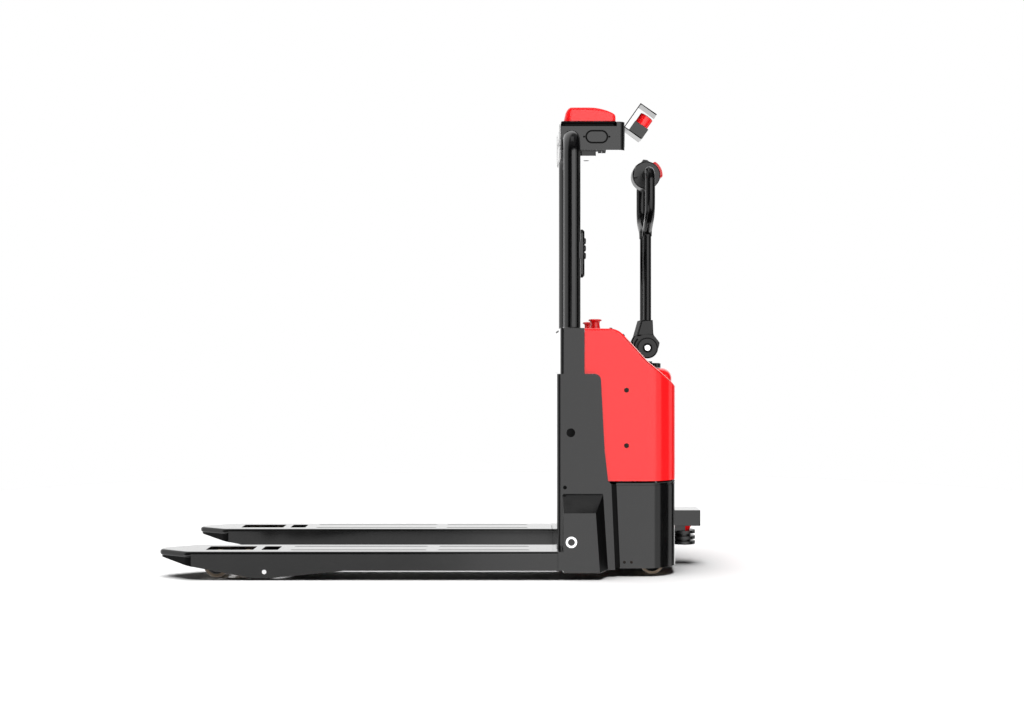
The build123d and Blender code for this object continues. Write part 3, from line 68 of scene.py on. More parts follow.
# Soft boxes: place, aim, width, height and radiance
OVERHEAD = ((0.0, 0.0, 4.5), (0.0, 0.0, 0.0), 9.0, 9.0, 2.1)
SOFT_BOXES = {
    "overhead_sheen": ((0.0, 0.0, 4.4), (0.0, 0.0, 0.0), 6.0, 6.0, 0.15),
    "key_low": ((2.216, -5.767, -0.85), (-0.584, -0.467, -0.85), 5.4, 4.5, 1.93),
    "key_high": ((2.216, -5.767, 2.9), (-0.584, -0.467, 2.9), 5.4, 3.0, 2.4),
    "key_side": ((5.75, -3.9, 0.45), (2.95, 1.4, 0.45), 2.6, 7.9, 0.95),
    "fork_fill": ((-1.45, -7.0, -0.3), (-0.4, 0.0, -0.3), 2.5, 2.4, 1.15),
    "slope_sheen": ((0.55, -0.75, 4.3), (0.55, -0.75, 0.0), 1.6, 1.4, 0.7),
    "fill_left": ((-4.6, -4.4, -3.2), (0.2, 0.0, -3.2), 6.5, 4.4, 1.3),
    "fill_back": ((5.2, 3.4, -3.2), (0.2, 0.0, -3.2), 6.5, 4.4, 1.3),
    "side_strip": ((4.3, 1.25, 0.8), (0.6, 0.0, 0.8), 1.4, 3.0, 0.6),
}

# Drawing units, axes and edges
MM = 0.001
AXIS_X, AXIS_Y, AXIS_Z = 0, 1, 2
SIDES = (-1, 1)
SIDE_NAMES = {"right": -1, "left": 1}
WELD_GAP = 1e-5
DOUBLE_GAP = 0.005
FLAT_ANGLE = math.radians(1.0)
SHARP_ANGLE = math.radians(32.0)
# Nodes with corners so narrow that a clamp would shrink every rounding to nothing
NARROW_CORNERS = {"frame_shell"}
SAME_SIDE = 0.8

# Fork tips, in millimetres like all the sizes of the truck
FORK_MID = 262.5
FORK_TOP = 81.0
FORK_HALF = 80.0
TIP_X = -798.0
TIP_JOINT_X = -693.5
TIP_END_X = -655.0
TIP_SHOULDER_X = -707.5
TIP_UNDER = 38.0
TIP_RISE = 22.0
TIP_PLATE = 18.0
TIP_CORNER = 12.0
TIP_RIM = 8.2
TIP_UNDERCUT = 5.0
UNDERSIDE_CORNER = 9.0
NOSE_HALF = 20.0

# Wheels
BOGIE_X = -590.5
ROLLER_PITCH = 82.0
ROLLER_R = 37.0
ROLLER_HALF = 30.0
ROLLER_TYRE = 10.0
ROLLER_BORE = 8.1
CASTER_X = 631.5
CASTER_Y = 212.0
CASTER_R = 36.0
CASTER_HALF = 15.0
CASTER_TYRE = 8.0
CASTER_BORE = 6.1
# A tread's crown as (below the radius, in from the side)
TREAD_SINK = 0.8
TREAD_CROWN = ((4.0, 0.4), (1.6, 1.2), (0.3, 3.2), (0.0, 6.0))
# A hub's boss as (out from the bore, in from the side), and its rim as (in from the tread, in from the side)
HUB_BOSS = ((0.0, 1.2), (4.0, 1.2), (5.0, 4.5))
HUB_RIM = ((4.0, 5.0), (2.5, 1.6), (0.0, 1.2))

# Fork frame
SHELL_HALF = 282.0
ROOT_TOP = 238.0
ROOT_SEAM_X = (370.0, 484.0)
ROOT_SEAM_R = 2.0
HEEL_SEAM_X = 352.0
HEEL_SEAM_Y = (184.0, 280.0)
HEEL_SEAM_Z = FORK_TOP - 2.0
HEEL_SEAM_R = 2.4
COLUMN_TOP = 720.0
COLUMN_FRONT = 361.5
# A thin black strip on the column's front, high up, paints the shade inside a slot
SLOT_HALF = 120.0
SLOT_Z = (711.0, 716.0)
SLOT_X = (COLUMN_FRONT + 0.4, COLUMN_FRONT - 0.3)
SLOT_CORNER = 2.0
PLATE_SCREW = (374.7, 258.7)
MAST_X = 398.5
MAST_HALF = 205.0
MAST_SEAM = ((25.0, 0.0), (28.6, 0.0), (27.6, 1.6), (25.8, 3.4), (25.0, 3.8))
BEAD_SIDES = 8
WELD_PITCH = 3.0
WELD_RIPPLE = 0.78

# Sensor head
HEAD_HALF = 120.0
DOME_X = (376.5, 536.0)
DOME_CROWN = (401.0, 455.0)
DOME_HALF = 108.0
DOME_FOOT = 1346.0
DOME_RISE = 46.0
DOME_FRONT_DROP = 10.0
DOME_REAR_DROP = 22.0
DOME_EDGE = 13.0
DOME_CORNER = 13.0
DOME_LEAN = 0.24
POLE_GAP = 1e-6
WINDOW_PLACE = (476.5, 1299.0)
WINDOW_SIZE = (68.0, 40.0)
WINDOW_GAP = 4.4
WINDOW_EDGE = 0.6
# How deep a window's layers start and how far out they end, seen from the head's side
PLATE_REACH = (-4.0, 0.3)
GAP_REACH = (-5.0, -0.6)
NUB_REACH = (-0.5, 0.5)
NUB_HALF = (3.2, 2.6)
NUB_OFFSET = 4.0
NUB_CORNER = 2.0
ROUND_END_SHAVE = 0.01
FACE_X = 365.0
PLATE_RIM = ((-117.0, 1337.0), (-117.0, 1262.0), (-92.0, 1237.0),
             (92.0, 1237.0), (117.0, 1262.0), (117.0, 1337.0))
PLATE_RIM_R = 0.6
SENSOR_Z = 1292.0
SENSOR_HALF = 72.0
SENSOR_TALL = 17.0
SENSOR_X = (FACE_X + 1.0, FACE_X - 0.15)
SENSOR_CORNER = SENSOR_TALL - 0.1
SENSOR_EDGE = 0.1
SENSOR_LENSES = ((-46.0, 11.0), (0.0, 8.0), (46.0, 11.0))
# A lens frame as (in from the radius, height), and the lens in it as (share of the radius, height)
LENS_INSET = 2.6
LENS_FRAME = ((0.0, 0.0), (0.0, 0.25), (0.3, 0.4), (2.0, 0.4), (LENS_INSET, 0.25), (LENS_INSET, 0.0))
LENS_CROWN = ((0.0, 0.4), (0.3, 0.38), (0.6, 0.32))
LENS_EDGE = 0.2

# Laser scanner
LIDAR_CORNER = (616.5, 1416.0)
LIDAR_TILT = 35.0
LIDAR_EYE = 39.4
LIDAR_EYE_R = 21.8
LIDAR_EYE_W = (-51.0, -18.4)
# The window's top edge and the rim over it, as (out from the radius, below the top)
LIDAR_EYE_TOP = ((0.0, 1.6), (-0.5, 1.0))
LIDAR_RIM = ((-0.2, 1.2), (0.1, 0.8), (-0.8, 0.0))
LIDAR_BASE_U = (17.3, 66.3)
LIDAR_BASE_W = (-87.0, -51.0)
LIDAR_BASE_HALF = 24.0
LIDAR_BASE_EDGE = 1.5
LIDAR_TAB_X = 564.5
LIDAR_SCREW_Y = 22.0
LIDAR_SCREW_Z = (1292.0, 1330.0)
LIDAR_TRIM = ((63.0, -88.5), (1.5, -88.5), (1.5, -1.5), (60.0, -1.5))
LIDAR_TRIM_Y = 33.6
LIDAR_TRIM_R = 1.9

# Operator panel
PANEL_FACE = 441.5
PANEL_BUTTONS = {"top": 994.5, "middle": 972.0, "bottom": 949.0}
BUTTON_R = 10.0
BUTTON_REACH = 9.0
BUTTON_ROOT = -4.0
# A button's crown as (share of the radius, below the top)
BUTTON_CROWN = ((0.0, 0.0), (0.5, 0.2), (0.8, 0.8), (0.94, 2.0), (1.0, 3.6))
BUTTON_COLLAR = ((10.7, 0.0), (10.7, 0.6), (11.1, 0.8), (11.6, 0.6), (12.0, 0.0))
DISPLAY_HALF = 58.0
DISPLAY_Z = (890.0, 930.0)
DISPLAY_X = (PANEL_FACE - 0.5, PANEL_FACE + 0.8)
DISPLAY_CORNER = 5.0
DISPLAY_EDGE = 0.5
STRIP_Y = 52.0
STRIP_HALF = 3.5
STRIP_Z = (944.0, 1000.0)
STRIP_X = (PANEL_FACE - 0.5, PANEL_FACE + 0.7)
STRIP_CORNER = 3.4
STRIP_EDGE = 0.4

# Covers
STOP_PLACE = (468.5, 170.0)
STOP_TOP = 749.0
STOP_FOOT = 719.5
STOP_FOOT_R = 15.0
# A stop button's cap and stem as (radius, below the top)
STOP_CAP = ((0.0, 0.0), (12.0, 0.3), (17.5, 1.2), (19.6, 2.8), (20.0, 4.4), (19.0, 5.6),
            (15.4, 7.0), (13.8, 9.5), (13.2, 14.0), (13.6, 19.0), (14.6, 23.0))
HOOD_HALF = 272.0
HOOD_CREST = (528.5, 719.0)
HOOD_KNEE = (614.5, 624.0)
HOOD_REAR = (704.5, 550.4)
HOOD_CORNER = 96.0
SLOPE_START = 551.0
SLOPE_END_GAP = 3.0
SLOPE_STEPS = 40
# Painted lines along the slope's rim, a pale painted highlight over a dark red painted shade: finish,
# distance in, distance down and radius
HOOD_EDGE_PAINTED_LINES = {
    "hood_edge_painted_highlight": ("painted_highlight_pink", 5.0, 0.6, 1.3),
    "hood_edge_painted_shade": ("red_painted_shade", 1.2, 4.4, 1.1),
}
SKIRT_HALF = 278.0
# Painted shade: matt black strips behind the gaps between the frame's side plates and the skirt
GAP_SHADE_OUTLINE = ((512.0, 26.0), (545.0, 26.0), (534.0, 266.0), (501.0, 266.0))
GAP_SHADE_Y = (268.0, 274.0)
HOOD_SCREWS = ((553.5, 540.0), (553.5, 379.0))
SKIRT_SCREWS = ((547.0, 42.0), (567.0, 42.0))
SHOULDER_Y = 252.0
SHOULDER_SCREWS = ((509.5, 718.6, 4.0), (546.0, 699.5, 44.0))

# Screw heads as radius and height, and their profile in shares of both
HOOD_HEAD = (7.0, 2.5)
SKIRT_HEAD = (4.0, 2.0)
SHOULDER_HEAD = (4.6, 3.0)
PLATE_HEAD = (5.5, 1.8)
LIDAR_HEAD = (4.0, 2.4)
SCREW_PROFILE = ((0.0, 0.3), (0.42, 0.3), (0.46, 0.95), (0.56, 1.0),
                 (0.85, 0.8), (1.0, 0.35), (1.0, 0.0), (0.0, 0.0))

# Tiller joint: black rings of painted shade in its gaps, each as inner radius, outer radius, distance from
# the middle, steps and arc
TILT_AXIS = (635.5, 664.0)
GAP_RISE = 0.5
BOSS_ARC = {"start": (-0.72, 0, 0.694), "sweep": math.radians(78)}
FULL_TURN = {}
JOINT_GAP_SHADES = (
    (37.5, 42.6, 46.0, 40, BOSS_ARC),
    (28.2, 31.4, 54.0, 64, FULL_TURN),
    (10.2, 14.6, 56.0, 64, FULL_TURN),
)

# Edge rounding of the nodes that keep their own shape
EDGE_SIZES = {
    0.4: ["frame_shell"],
    0.6: ["throttle", "underside_camera", "safety_scanner", "belly_button"],
    0.8: ["head_face_plate", "lidar_bracket", "panel_housing", "scanner_shield", "tiller_joint",
          "tiller_base", "tiller_head", "chassis_frame", "drive_housing", "bell_crank"],
    1.2: ["root_boxes", "head_housing", "hood", "skirt"],
    1.5: ["right_fork", "left_fork", "head_lid"],
}

# Nodes with another finish than their slot's; the frame inside the covers and the head's face plate get
# painted light
FINISH_AND_PAINTED_LIGHT_OF = {
    "head_lid": "matt_black",
    # painted reflection: near white for the grazing white reflection on the face that looks over the forks
    "head_face_plate": "plate_painted_reflection",
    "tiller_tubes": "tiller_black",
    "tiller_grips": "tiller_black",
    "tiller_joint": "tiller_black",
    "drive_wheel": "grip_rubber",
    "drive_housing": "matt_black",
    # painted shade: matt black so that the frame seen through the gaps in the covers reads as dark shade
    "chassis_frame": "matt_black",
}
# Faces that look one way, with a finish of their own that is painted light, as (finish, direction)
SIDE_PAINTED_LIGHT = {
    # painted shade on the joint's faces that look towards the forks
    "tiller_joint": ("matt_black", (-1, 0, 0)),
    # painted reflection: bright steel for the white that the undersides of the head and its camera mirror
    "head_housing": ("bright_steel", (0, 0, -1)),
    "underside_camera": ("bright_steel", (0, 0, -1)),
    # painted shade on the root boxes' rear faces, and on the skirt's top where it shows in the gap under the
    # hood
    "root_boxes": ("matt_black", (1, 0, 0)),
    "skirt": ("matt_black", (0, 0, 1)),
}

# Surface effects, with lengths in metres
MOTTLE_SCALE = 7.0
MOTTLE_FINISH = (0.85, 1.15)
GRAIN_DEPTH = 0.0004
WEAR_RADIUS = 0.0015
WORN_EDGE = (0.04, 0.2)
WORN_PATCH = (0.48, 0.66)
DUST_REACH = 0.22
DUST_FACING_UP = (0.3, 1.0)
DUST_ON_TOP = 0.7
DUST_NEAR_FLOOR = 0.6
DUST_CLOUD = (0.35, 0.75)
DUST_COLOUR = (0.32, 0.3, 0.27)
DUST_ROUGHNESS = 0.8
LACQUER_SLANT = (0.55, 0.95)
LACQUER_ROUGHNESS = 0.1
MARK_STRETCH = (1.0, 60.0, 60.0)
MARK_SHADES = (0.85, 1.1)
MARK_FINISH = (0.7, 1.3)
MARK_BUMP = 0.08
MARK_DEPTH = 0.0003

# Colours, and the colours of rubbed edges
DARK = (0.004, 0.004, 0.0042)
RED = (0.95, 0.0105, 0.0135)
PAINT_EDGE = (0.2, 0.2, 0.205)
BLACK_EDGE = (0.05, 0.05, 0.05)
RED_EDGE = (0.95, 0.12, 0.12)

# Paints and plastics: colour, roughness and what differs from plain paint
COATED = {
    "dark_paint": (DARK, 0.13, dict(bump=0.012, lacquer=True)),
    "fork_paint": ((0.0035, 0.0035, 0.0037), 0.15, dict(bump=0.012, lacquer=True)),
    "gloss_black": ((0.0022, 0.0022, 0.0024), 0.17, dict(wear=0.0, dust=0.0, bump=0.0, specular=0.58)),
    "red_cover": (RED, 0.17, dict(bare=RED_EDGE, wear=0.1, dust=0.0, bump=0.012, spread=0.02)),
    "black_cover": (DARK, 0.13, dict(bare=BLACK_EDGE, grain=1400.0, bump=0.012, lacquer=True)),
    "black_trim": ((0.006, 0.006, 0.0064), 0.3, dict(bare=BLACK_EDGE, dust=0.0, grain=1600.0, bump=0.05)),
    "red_trim": ((0.62, 0.007, 0.009), 0.22, dict(bare=RED_EDGE, dust=0.0, bump=0.012, spread=0.03)),
    "polyurethane": ((0.22, 0.16, 0.105), 0.42,
                     dict(bare=(0.3, 0.23, 0.16), wear=0.1, dust=0.05, grain=700.0, bump=0.06)),
    "grip_rubber": ((0.0024, 0.0024, 0.0026), 0.2,
                    dict(bare=(0.02, 0.02, 0.02), wear=0.05, dust=0.0, grain=1800.0, bump=0.0)),
    "battery_case": ((0.02, 0.02, 0.022), 0.5, dict(bare=(0.08, 0.08, 0.08), bump=0.1)),
    "lidar_red": (RED, 0.1, dict(bare=RED_EDGE, wear=0.05, dust=0.0, bump=0.0, spread=0.02)),
    "matt_black": ((0.0012, 0.0012, 0.0013), 0.55,
                   dict(bare=(0.004, 0.004, 0.004), dust=0.0, spread=0.2, specular=0.12)),
    "dark_screw": ((0.016, 0.009, 0.005), 0.4, dict(bare=BLACK_EDGE, dust=0.0, spread=0.25, specular=0.25)),
    # tan tread, made lighter than the rollers' polyurethane as painted light on the caster that sits in the
    # skirt's shade
    "caster_tyre": ((0.34, 0.25, 0.16), 0.42,
                    dict(bare=(0.4, 0.3, 0.2), wear=0.1, dust=0.03, grain=700.0, bump=0.06)),
    "tiller_black": ((0.0018, 0.0018, 0.002), 0.2, dict(wear=0.0, dust=0.0, bump=0.0, specular=0.38)),
    # painted highlight and painted shade, drawn as beads along the rim of the hood's slope
    "painted_highlight_pink": ((0.9, 0.55, 0.52), 0.3, dict(bare=(0.9, 0.7, 0.7), dust=0.0, bump=0.01)),
    "red_painted_shade": ((0.4, 0.004, 0.006), 0.4, dict(bare=RED_EDGE, dust=0.0, bump=0.01)),
    "hub_grey": ((0.05, 0.05, 0.052), 0.35, dict(bare=(0.2, 0.2, 0.2), dust=0.1, bump=0.05)),
    "dark_glass": ((0.003, 0.003, 0.0035), 0.04, dict(wear=0.0, dust=0.0, bump=0.0, spread=0.3)),
    # painted reflection: near white for the grazing reflection on the head's face plate
    "plate_painted_reflection": ((0.8, 0.8, 0.8), 0.2, dict(bare=(0.7, 0.7, 0.7), dust=0.0, bump=0.01, spread=0.02)),
    "signal_white": ((0.7, 0.7, 0.68), 0.3, dict(bare=(0.8, 0.8, 0.8), dust=0.0, bump=0.01)),
}
METALS = {
    "bright_steel": ((0.9, 0.9, 0.91), 0.16),
    "zinc_steel": ((0.5, 0.5, 0.51), 0.3),
}


# Shader node helpers

# Places of a mix node's two inputs and its result, for colours and for plain values
MIX_SOCKETS = {"RGBA": (6, 7, 2), "FLOAT": (2, 3, 0)}


def add_node(tree, kind, **values):
    """A node with its properties or inputs set by name."""
    node = tree.nodes.new(kind)
    for name, value in values.items():
        if name in node.inputs:
            node.inputs[name].default_value = value
        else:
            setattr(node, name, value)
    return node


def wire(tree, source, target):
    """Feeds an input with a socket, or sets it to a number or an RGB value."""
    if isinstance(source, tuple):
        target.default_value = (*source, 1.0)
    elif isinstance(source, (int, float)):
        target.default_value = source
    else:
        tree.links.new(source, target)


def new_group(name, inputs, outputs):
    """An empty shader group with float inputs (name, default) and float outputs."""
    tree = bpy.data.node_groups.new(name, "ShaderNodeTree")
    for label, default in inputs:
        socket = tree.interface.new_socket(label, in_out="INPUT", socket_type="NodeSocketFloat")
        socket.default_value = default
    for label in outputs:
        tree.interface.new_socket(label, in_out="OUTPUT", socket_type="NodeSocketFloat")
    return tree, tree.nodes.new("NodeGroupInput"), tree.nodes.new("NodeGroupOutput")


def math_node(tree, operation, first, second, clamp=False):
    """A Math node fed by sockets or plain numbers; gives its output."""
    node = add_node(tree, "ShaderNodeMath", operation=operation, use_clamp=clamp)
    wire(tree, first, node.inputs[0])
    wire(tree, second, node.inputs[1])
    return node.outputs[0]


def noise(tree, vector, scale, detail=3.0, rough=0.5):
    """Noise about one half at a point."""
    node = add_node(tree, "ShaderNodeTexNoise", Detail=detail, Roughness=rough)
    wire(tree, vector, node.inputs["Vector"])
    wire(tree, scale, node.inputs["Scale"])
    return node.outputs["Fac"]


def ramp_between(tree, value, low, high):
    """A smooth step from 0 at low to 1 at high."""
    node = add_node(tree, "ShaderNodeMapRange", interpolation_type="SMOOTHSTEP")
    node.inputs["From Min"].default_value = low
    node.inputs["From Max"].default_value = high
    wire(tree, value, node.inputs["Value"])
    return node.outputs["Result"]


def object_point(tree):
    """The place on the object."""
    return tree.nodes.new("ShaderNodeTexCoord").outputs["Object"]


def face_normal(tree):
    """The direction in which the surface looks."""
    return tree.nodes.new("ShaderNodeNewGeometry").outputs["Normal"]


def height_of(tree, vector):
    """The upward part of a vector."""
    split = tree.nodes.new("ShaderNodeSeparateXYZ")
    wire(tree, vector, split.inputs[0])
    return split.outputs["Z"]


def mix(tree, kind, mask, first, second):
    """A mix of two colours or two values, each a socket or a constant."""
    node = add_node(tree, "ShaderNodeMix", data_type=kind)
    first_place, second_place, result = MIX_SOCKETS[kind]
    wire(tree, mask, node.inputs["Factor"])
    wire(tree, first, node.inputs[first_place])
    wire(tree, second, node.inputs[second_place])
    return node.outputs[result]


# Shared surface effects

def grain_group():
    """Fine surface grain as a height, and slow mottling as a value about one half."""
    inputs = [("Scale", 900.0), ("Mottle Scale", 6.0)]
    tree, given, out = new_group("fine_grain", inputs, ["Height", "Mottle"])
    point = object_point(tree)
    height = noise(tree, point, given.outputs["Scale"], detail=2.0)
    mottle = noise(tree, point, given.outputs["Mottle Scale"], detail=4.0, rough=0.6)
    wire(tree, height, out.inputs["Height"])
    wire(tree, mottle, out.inputs["Mottle"])
    return tree


def wear_group():
    """Where the finish is rubbed off along edges, as a mask."""
    tree, given, out = new_group("edge_wear", [("Radius", 0.002), ("Amount", 0.3)], ["Mask"])
    rounded = add_node(tree, "ShaderNodeBevel", samples=4)
    wire(tree, given.outputs["Radius"], rounded.inputs["Radius"])
    facing = add_node(tree, "ShaderNodeVectorMath", operation="DOT_PRODUCT")
    wire(tree, rounded.outputs["Normal"], facing.inputs[0])
    wire(tree, face_normal(tree), facing.inputs[1])
    edge = ramp_between(tree, math_node(tree, "SUBTRACT", 1.0, facing.outputs["Value"]), *WORN_EDGE)
    blotches = noise(tree, object_point(tree), scale=38.0, detail=6.0, rough=0.65)
    patches = ramp_between(tree, blotches, *WORN_PATCH)
    rubbed = math_node(tree, "MULTIPLY", edge, patches)
    mask = math_node(tree, "MULTIPLY", rubbed, given.outputs["Amount"], clamp=True)
    wire(tree, mask, out.inputs["Mask"])
    return tree


def dust_group():
    """Settled dust: on faces that look up and near the floor, as a mask."""
    tree, given, out = new_group("settled_dust", [("Amount", 0.2), ("Reach", 0.25)], ["Mask"])
    point = object_point(tree)
    up = ramp_between(tree, height_of(tree, face_normal(tree)), *DUST_FACING_UP)
    rise = math_node(tree, "DIVIDE", height_of(tree, point), given.outputs["Reach"])
    low = math_node(tree, "SUBTRACT", 1.0, rise, clamp=True)
    on_top = math_node(tree, "MULTIPLY", up, DUST_ON_TOP)
    near_floor = math_node(tree, "MULTIPLY", low, DUST_NEAR_FLOOR)
    cloud = ramp_between(tree, noise(tree, point, scale=14.0, detail=6.0, rough=0.6), *DUST_CLOUD)
    settled = math_node(tree, "MULTIPLY", math_node(tree, "MAXIMUM", on_top, near_floor), cloud)
    mask = math_node(tree, "MULTIPLY", settled, given.outputs["Amount"], clamp=True)
    wire(tree, mask, out.inputs["Mask"])
    return tree


GRAIN = grain_group()
WEAR = wear_group()
DUST = dust_group()


def use_group(tree, group, **values):
    """A shared effect with its inputs set by name."""
    node = tree.nodes.new("ShaderNodeGroup")
    node.node_tree = group
    for name, value in values.items():
        node.inputs[name.replace("_", " ").title()].default_value = value
    return node


# Materials

def new_material(name):
    """A material with its node tree and its shader."""
    material = bpy.data.materials.new(name)
    material.use_nodes = True
    shader = material.node_tree.nodes["Principled BSDF"]
    return material, material.node_tree, shader


def shade(value, change):
    """A colour made lighter or darker."""
    return tuple(min(1.0, channel * change) for channel in value)


def add_bump(tree, shader, height, strength, depth):
    """Feeds a height to the shader as bump."""
    bumped = add_node(tree, "ShaderNodeBump", Strength=strength, Distance=depth)
    wire(tree, height, bumped.inputs["Height"])
    wire(tree, bumped.outputs["Normal"], shader.inputs["Normal"])


def coated(name, colour, roughness, bare=PAINT_EDGE, wear=0.12, dust=0.02, grain=900.0, bump=0.03,
           spread=0.06, lacquer=False, specular=0.5):
    """Paint or moulded plastic: slow mottling, fine grain, rubbed edges and a trace of settled dust."""
    material, tree, shader = new_material(name)
    surface = use_group(tree, GRAIN, scale=grain, mottle_scale=MOTTLE_SCALE)
    mottle = surface.outputs["Mottle"]
    rubbed = use_group(tree, WEAR, radius=WEAR_RADIUS, amount=wear).outputs["Mask"]
    settled = use_group(tree, DUST, amount=dust, reach=DUST_REACH).outputs["Mask"]
    paint = mix(tree, "RGBA", mottle, shade(colour, 1.0 - spread), shade(colour, 1.0 + spread))
    worn = mix(tree, "RGBA", rubbed, paint, bare)
    wire(tree, mix(tree, "RGBA", settled, worn, DUST_COLOUR), shader.inputs["Base Color"])
    finish = mix(tree, "FLOAT", mottle, *(roughness * share for share in MOTTLE_FINISH))
    wire(tree, mix(tree, "FLOAT", settled, finish, DUST_ROUGHNESS), shader.inputs["Roughness"])
    shader.inputs["Specular IOR Level"].default_value = specular
    if lacquer:
        slant = add_node(tree, "ShaderNodeLayerWeight", Blend=0.5)
        coat = ramp_between(tree, slant.outputs["Facing"], *LACQUER_SLANT)
        wire(tree, coat, shader.inputs["Coat Weight"])
        shader.inputs["Coat Roughness"].default_value = LACQUER_ROUGHNESS
    if bump:
        add_bump(tree, shader, surface.outputs["Height"], bump, GRAIN_DEPTH)
    return material


def metal(name, colour, roughness):
    """Bare metal with fine tool marks along one direction."""
    material, tree, shader = new_material(name)
    brushed = add_node(tree, "ShaderNodeMapping", Scale=MARK_STRETCH)
    wire(tree, object_point(tree), brushed.inputs["Vector"])
    marks = noise(tree, brushed.outputs["Vector"], scale=40.0, detail=4.0, rough=0.6)
    tone = mix(tree, "RGBA", marks, *(shade(colour, change) for change in MARK_SHADES))
    finish = mix(tree, "FLOAT", marks, *(roughness * share for share in MARK_FINISH))
    wire(tree, tone, shader.inputs["Base Color"])
    wire(tree, finish, shader.inputs["Roughness"])
    shader.inputs["Metallic"].default_value = 1.0
    add_bump(tree, shader, marks, MARK_BUMP, MARK_DEPTH)
    return material


MATERIALS = {name: coated(name, colour, rough, **rest) for name, (colour, rough, rest) in COATED.items()}
MATERIALS.update({name: metal(name, *finish) for name, finish in METALS.items()})


# Piece helpers: shapes are drawn in millimetres in the truck's own frame

def place_piece(name, bm, material, body, stands_for=()):
    """Turns a bmesh into a piece that rides on a body; red pieces aren't seen in reflections."""
    bmesh.ops.scale(bm, vec=(MM, MM, MM), verts=bm.verts)
    mesh = bpy.data.meshes.new(name)
    bm.to_mesh(mesh)
    bm.free()
    old_shading = mesh.attributes.get("custom_normal")
    if old_shading:
        mesh.attributes.remove(old_shading)
    mesh.shade_smooth()
    mesh.set_sharp_from_angle(angle=SHARP_ANGLE)
    piece = bpy.data.objects.new(name, mesh)
    piece.visible_glossy = "red" not in material
    bpy.context.scene.collection.objects.link(piece)
    mesh.materials.append(MATERIALS[material])
    evened = piece.modifiers.new("even_shading", "WEIGHTED_NORMAL")
    evened.keep_sharp = True
    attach(piece, body)
    if stands_for:
        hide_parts(*stands_for)
    return piece


def soften(bm, size, segments=3, clamp=True):
    """Rounds the sharp edges; the clamp keeps a rounding from crossing the next one."""
    sharp = [e for e in bm.edges if len(e.link_faces) == 2 and e.calc_face_angle() > SHARP_ANGLE]
    bmesh.ops.bevel(bm, geom=sharp, offset=size, offset_type="OFFSET", affect="EDGES", segments=segments,
                    profile=0.5, material=-1, clamp_overlap=clamp)


def closed(bm):
    """Merges doubled points and turns the faces outwards."""
    bmesh.ops.remove_doubles(bm, verts=bm.verts, dist=DOUBLE_GAP)
    bmesh.ops.recalc_face_normals(bm, faces=bm.faces)
    return bm


def everything(bm):
    """All points, edges and faces."""
    return bm.verts[:] + bm.edges[:] + bm.faces[:]


def dressed(node, edge, material=None, side_painted_light=None, side=None):
    """A node's own shape with rounded edges; the faces that look to one side may get a second finish as
    painted light.
    """
    bm = bmesh.new()
    bm.from_mesh(NODES[node].data)
    bmesh.ops.remove_doubles(bm, verts=bm.verts, dist=WELD_GAP)
    bmesh.ops.scale(bm, vec=(1 / MM, 1 / MM, 1 / MM), verts=bm.verts)
    bmesh.ops.dissolve_limit(bm, angle_limit=FLAT_ANGLE, verts=bm.verts, edges=bm.edges)
    soften(bm, edge, clamp=node not in NARROW_CORNERS)
    slot = SLOT_OF[node]
    piece = place_piece(node + "_dressed", bm, material or slot, BODY_OF[node], (node,))
    if side_painted_light:
        piece.data.materials.append(MATERIALS[side_painted_light])
        for face in piece.data.polygons:
            face.material_index = int(face.normal.dot(Vector(side)) > SAME_SIDE)


def turned(bm, profile, place, axis, steps=48, ring=False, start=None, sweep=math.tau):
    """Spins (radius, along) points about an axis through a place; a ring's profile closes on itself."""
    axis = Vector(axis).normalized()
    side = Vector(start).normalized() if start else axis.orthogonal().normalized()
    points = [bm.verts.new(Vector(place) + axis * along + side * radius) for radius, along in profile]
    pairs = list(zip(points, points[1:])) + ([(points[-1], points[0])] if ring else [])
    edges = [bm.edges.new(pair) for pair in pairs]
    whole = sweep == math.tau
    bmesh.ops.spin(bm, geom=points + edges, cent=place, axis=axis, angle=sweep, steps=steps, use_merge=whole)


def both_ends(profile):
    """A profile followed by its mirror image, for a shape with two like ends."""
    return profile + [(radius, -along) for radius, along in reversed(profile)]


def slab(bm, outline, across, low, high, corner=0.0, segments=6):
    """A flat outline in two axes, its corners rounded, as thick as from low to high across the third."""
    def point(pair, at):
        values = list(pair)
        values.insert(across, at)
        return values
    verts = [bm.verts.new(point(pair, low)) for pair in outline]
    face = bm.faces.new(verts)
    if corner:
        rounded = bmesh.ops.bevel(bm, geom=verts, offset=corner, offset_type="OFFSET", affect="VERTICES",
                                  segments=segments, profile=0.5, material=-1)
        face = rounded["verts"][0].link_faces[0]
    grown = bmesh.ops.extrude_face_region(bm, geom=[face], use_keep_orig=True)
    top = [item for item in grown["geom"] if isinstance(item, bmesh.types.BMVert)]
    bmesh.ops.translate(bm, verts=top, vec=point((0.0, 0.0), high - low))


def box_outline(u0, u1, v0, v1):
    """The corners of a rectangle."""
    return [(u0, v0), (u1, v0), (u1, v1), (u0, v1)]


def trimmed(bm, place, facing):
    """Cuts away what lies beyond a plane and closes the cut."""
    cut = bmesh.ops.bisect_plane(bm, geom=everything(bm), plane_co=place, plane_no=facing, clear_outer=True)
    rim = [item for item in cut["geom_cut"] if isinstance(item, bmesh.types.BMEdge)]
    bmesh.ops.holes_fill(bm, edges=rim)
    return bm


def socket_screw(bm, place, axis, radius, height):
    """A domed screw head with a socket in it."""
    profile = [(radius * wide, height * tall) for wide, tall in SCREW_PROFILE]
    turned(bm, profile, place, axis, steps=24)


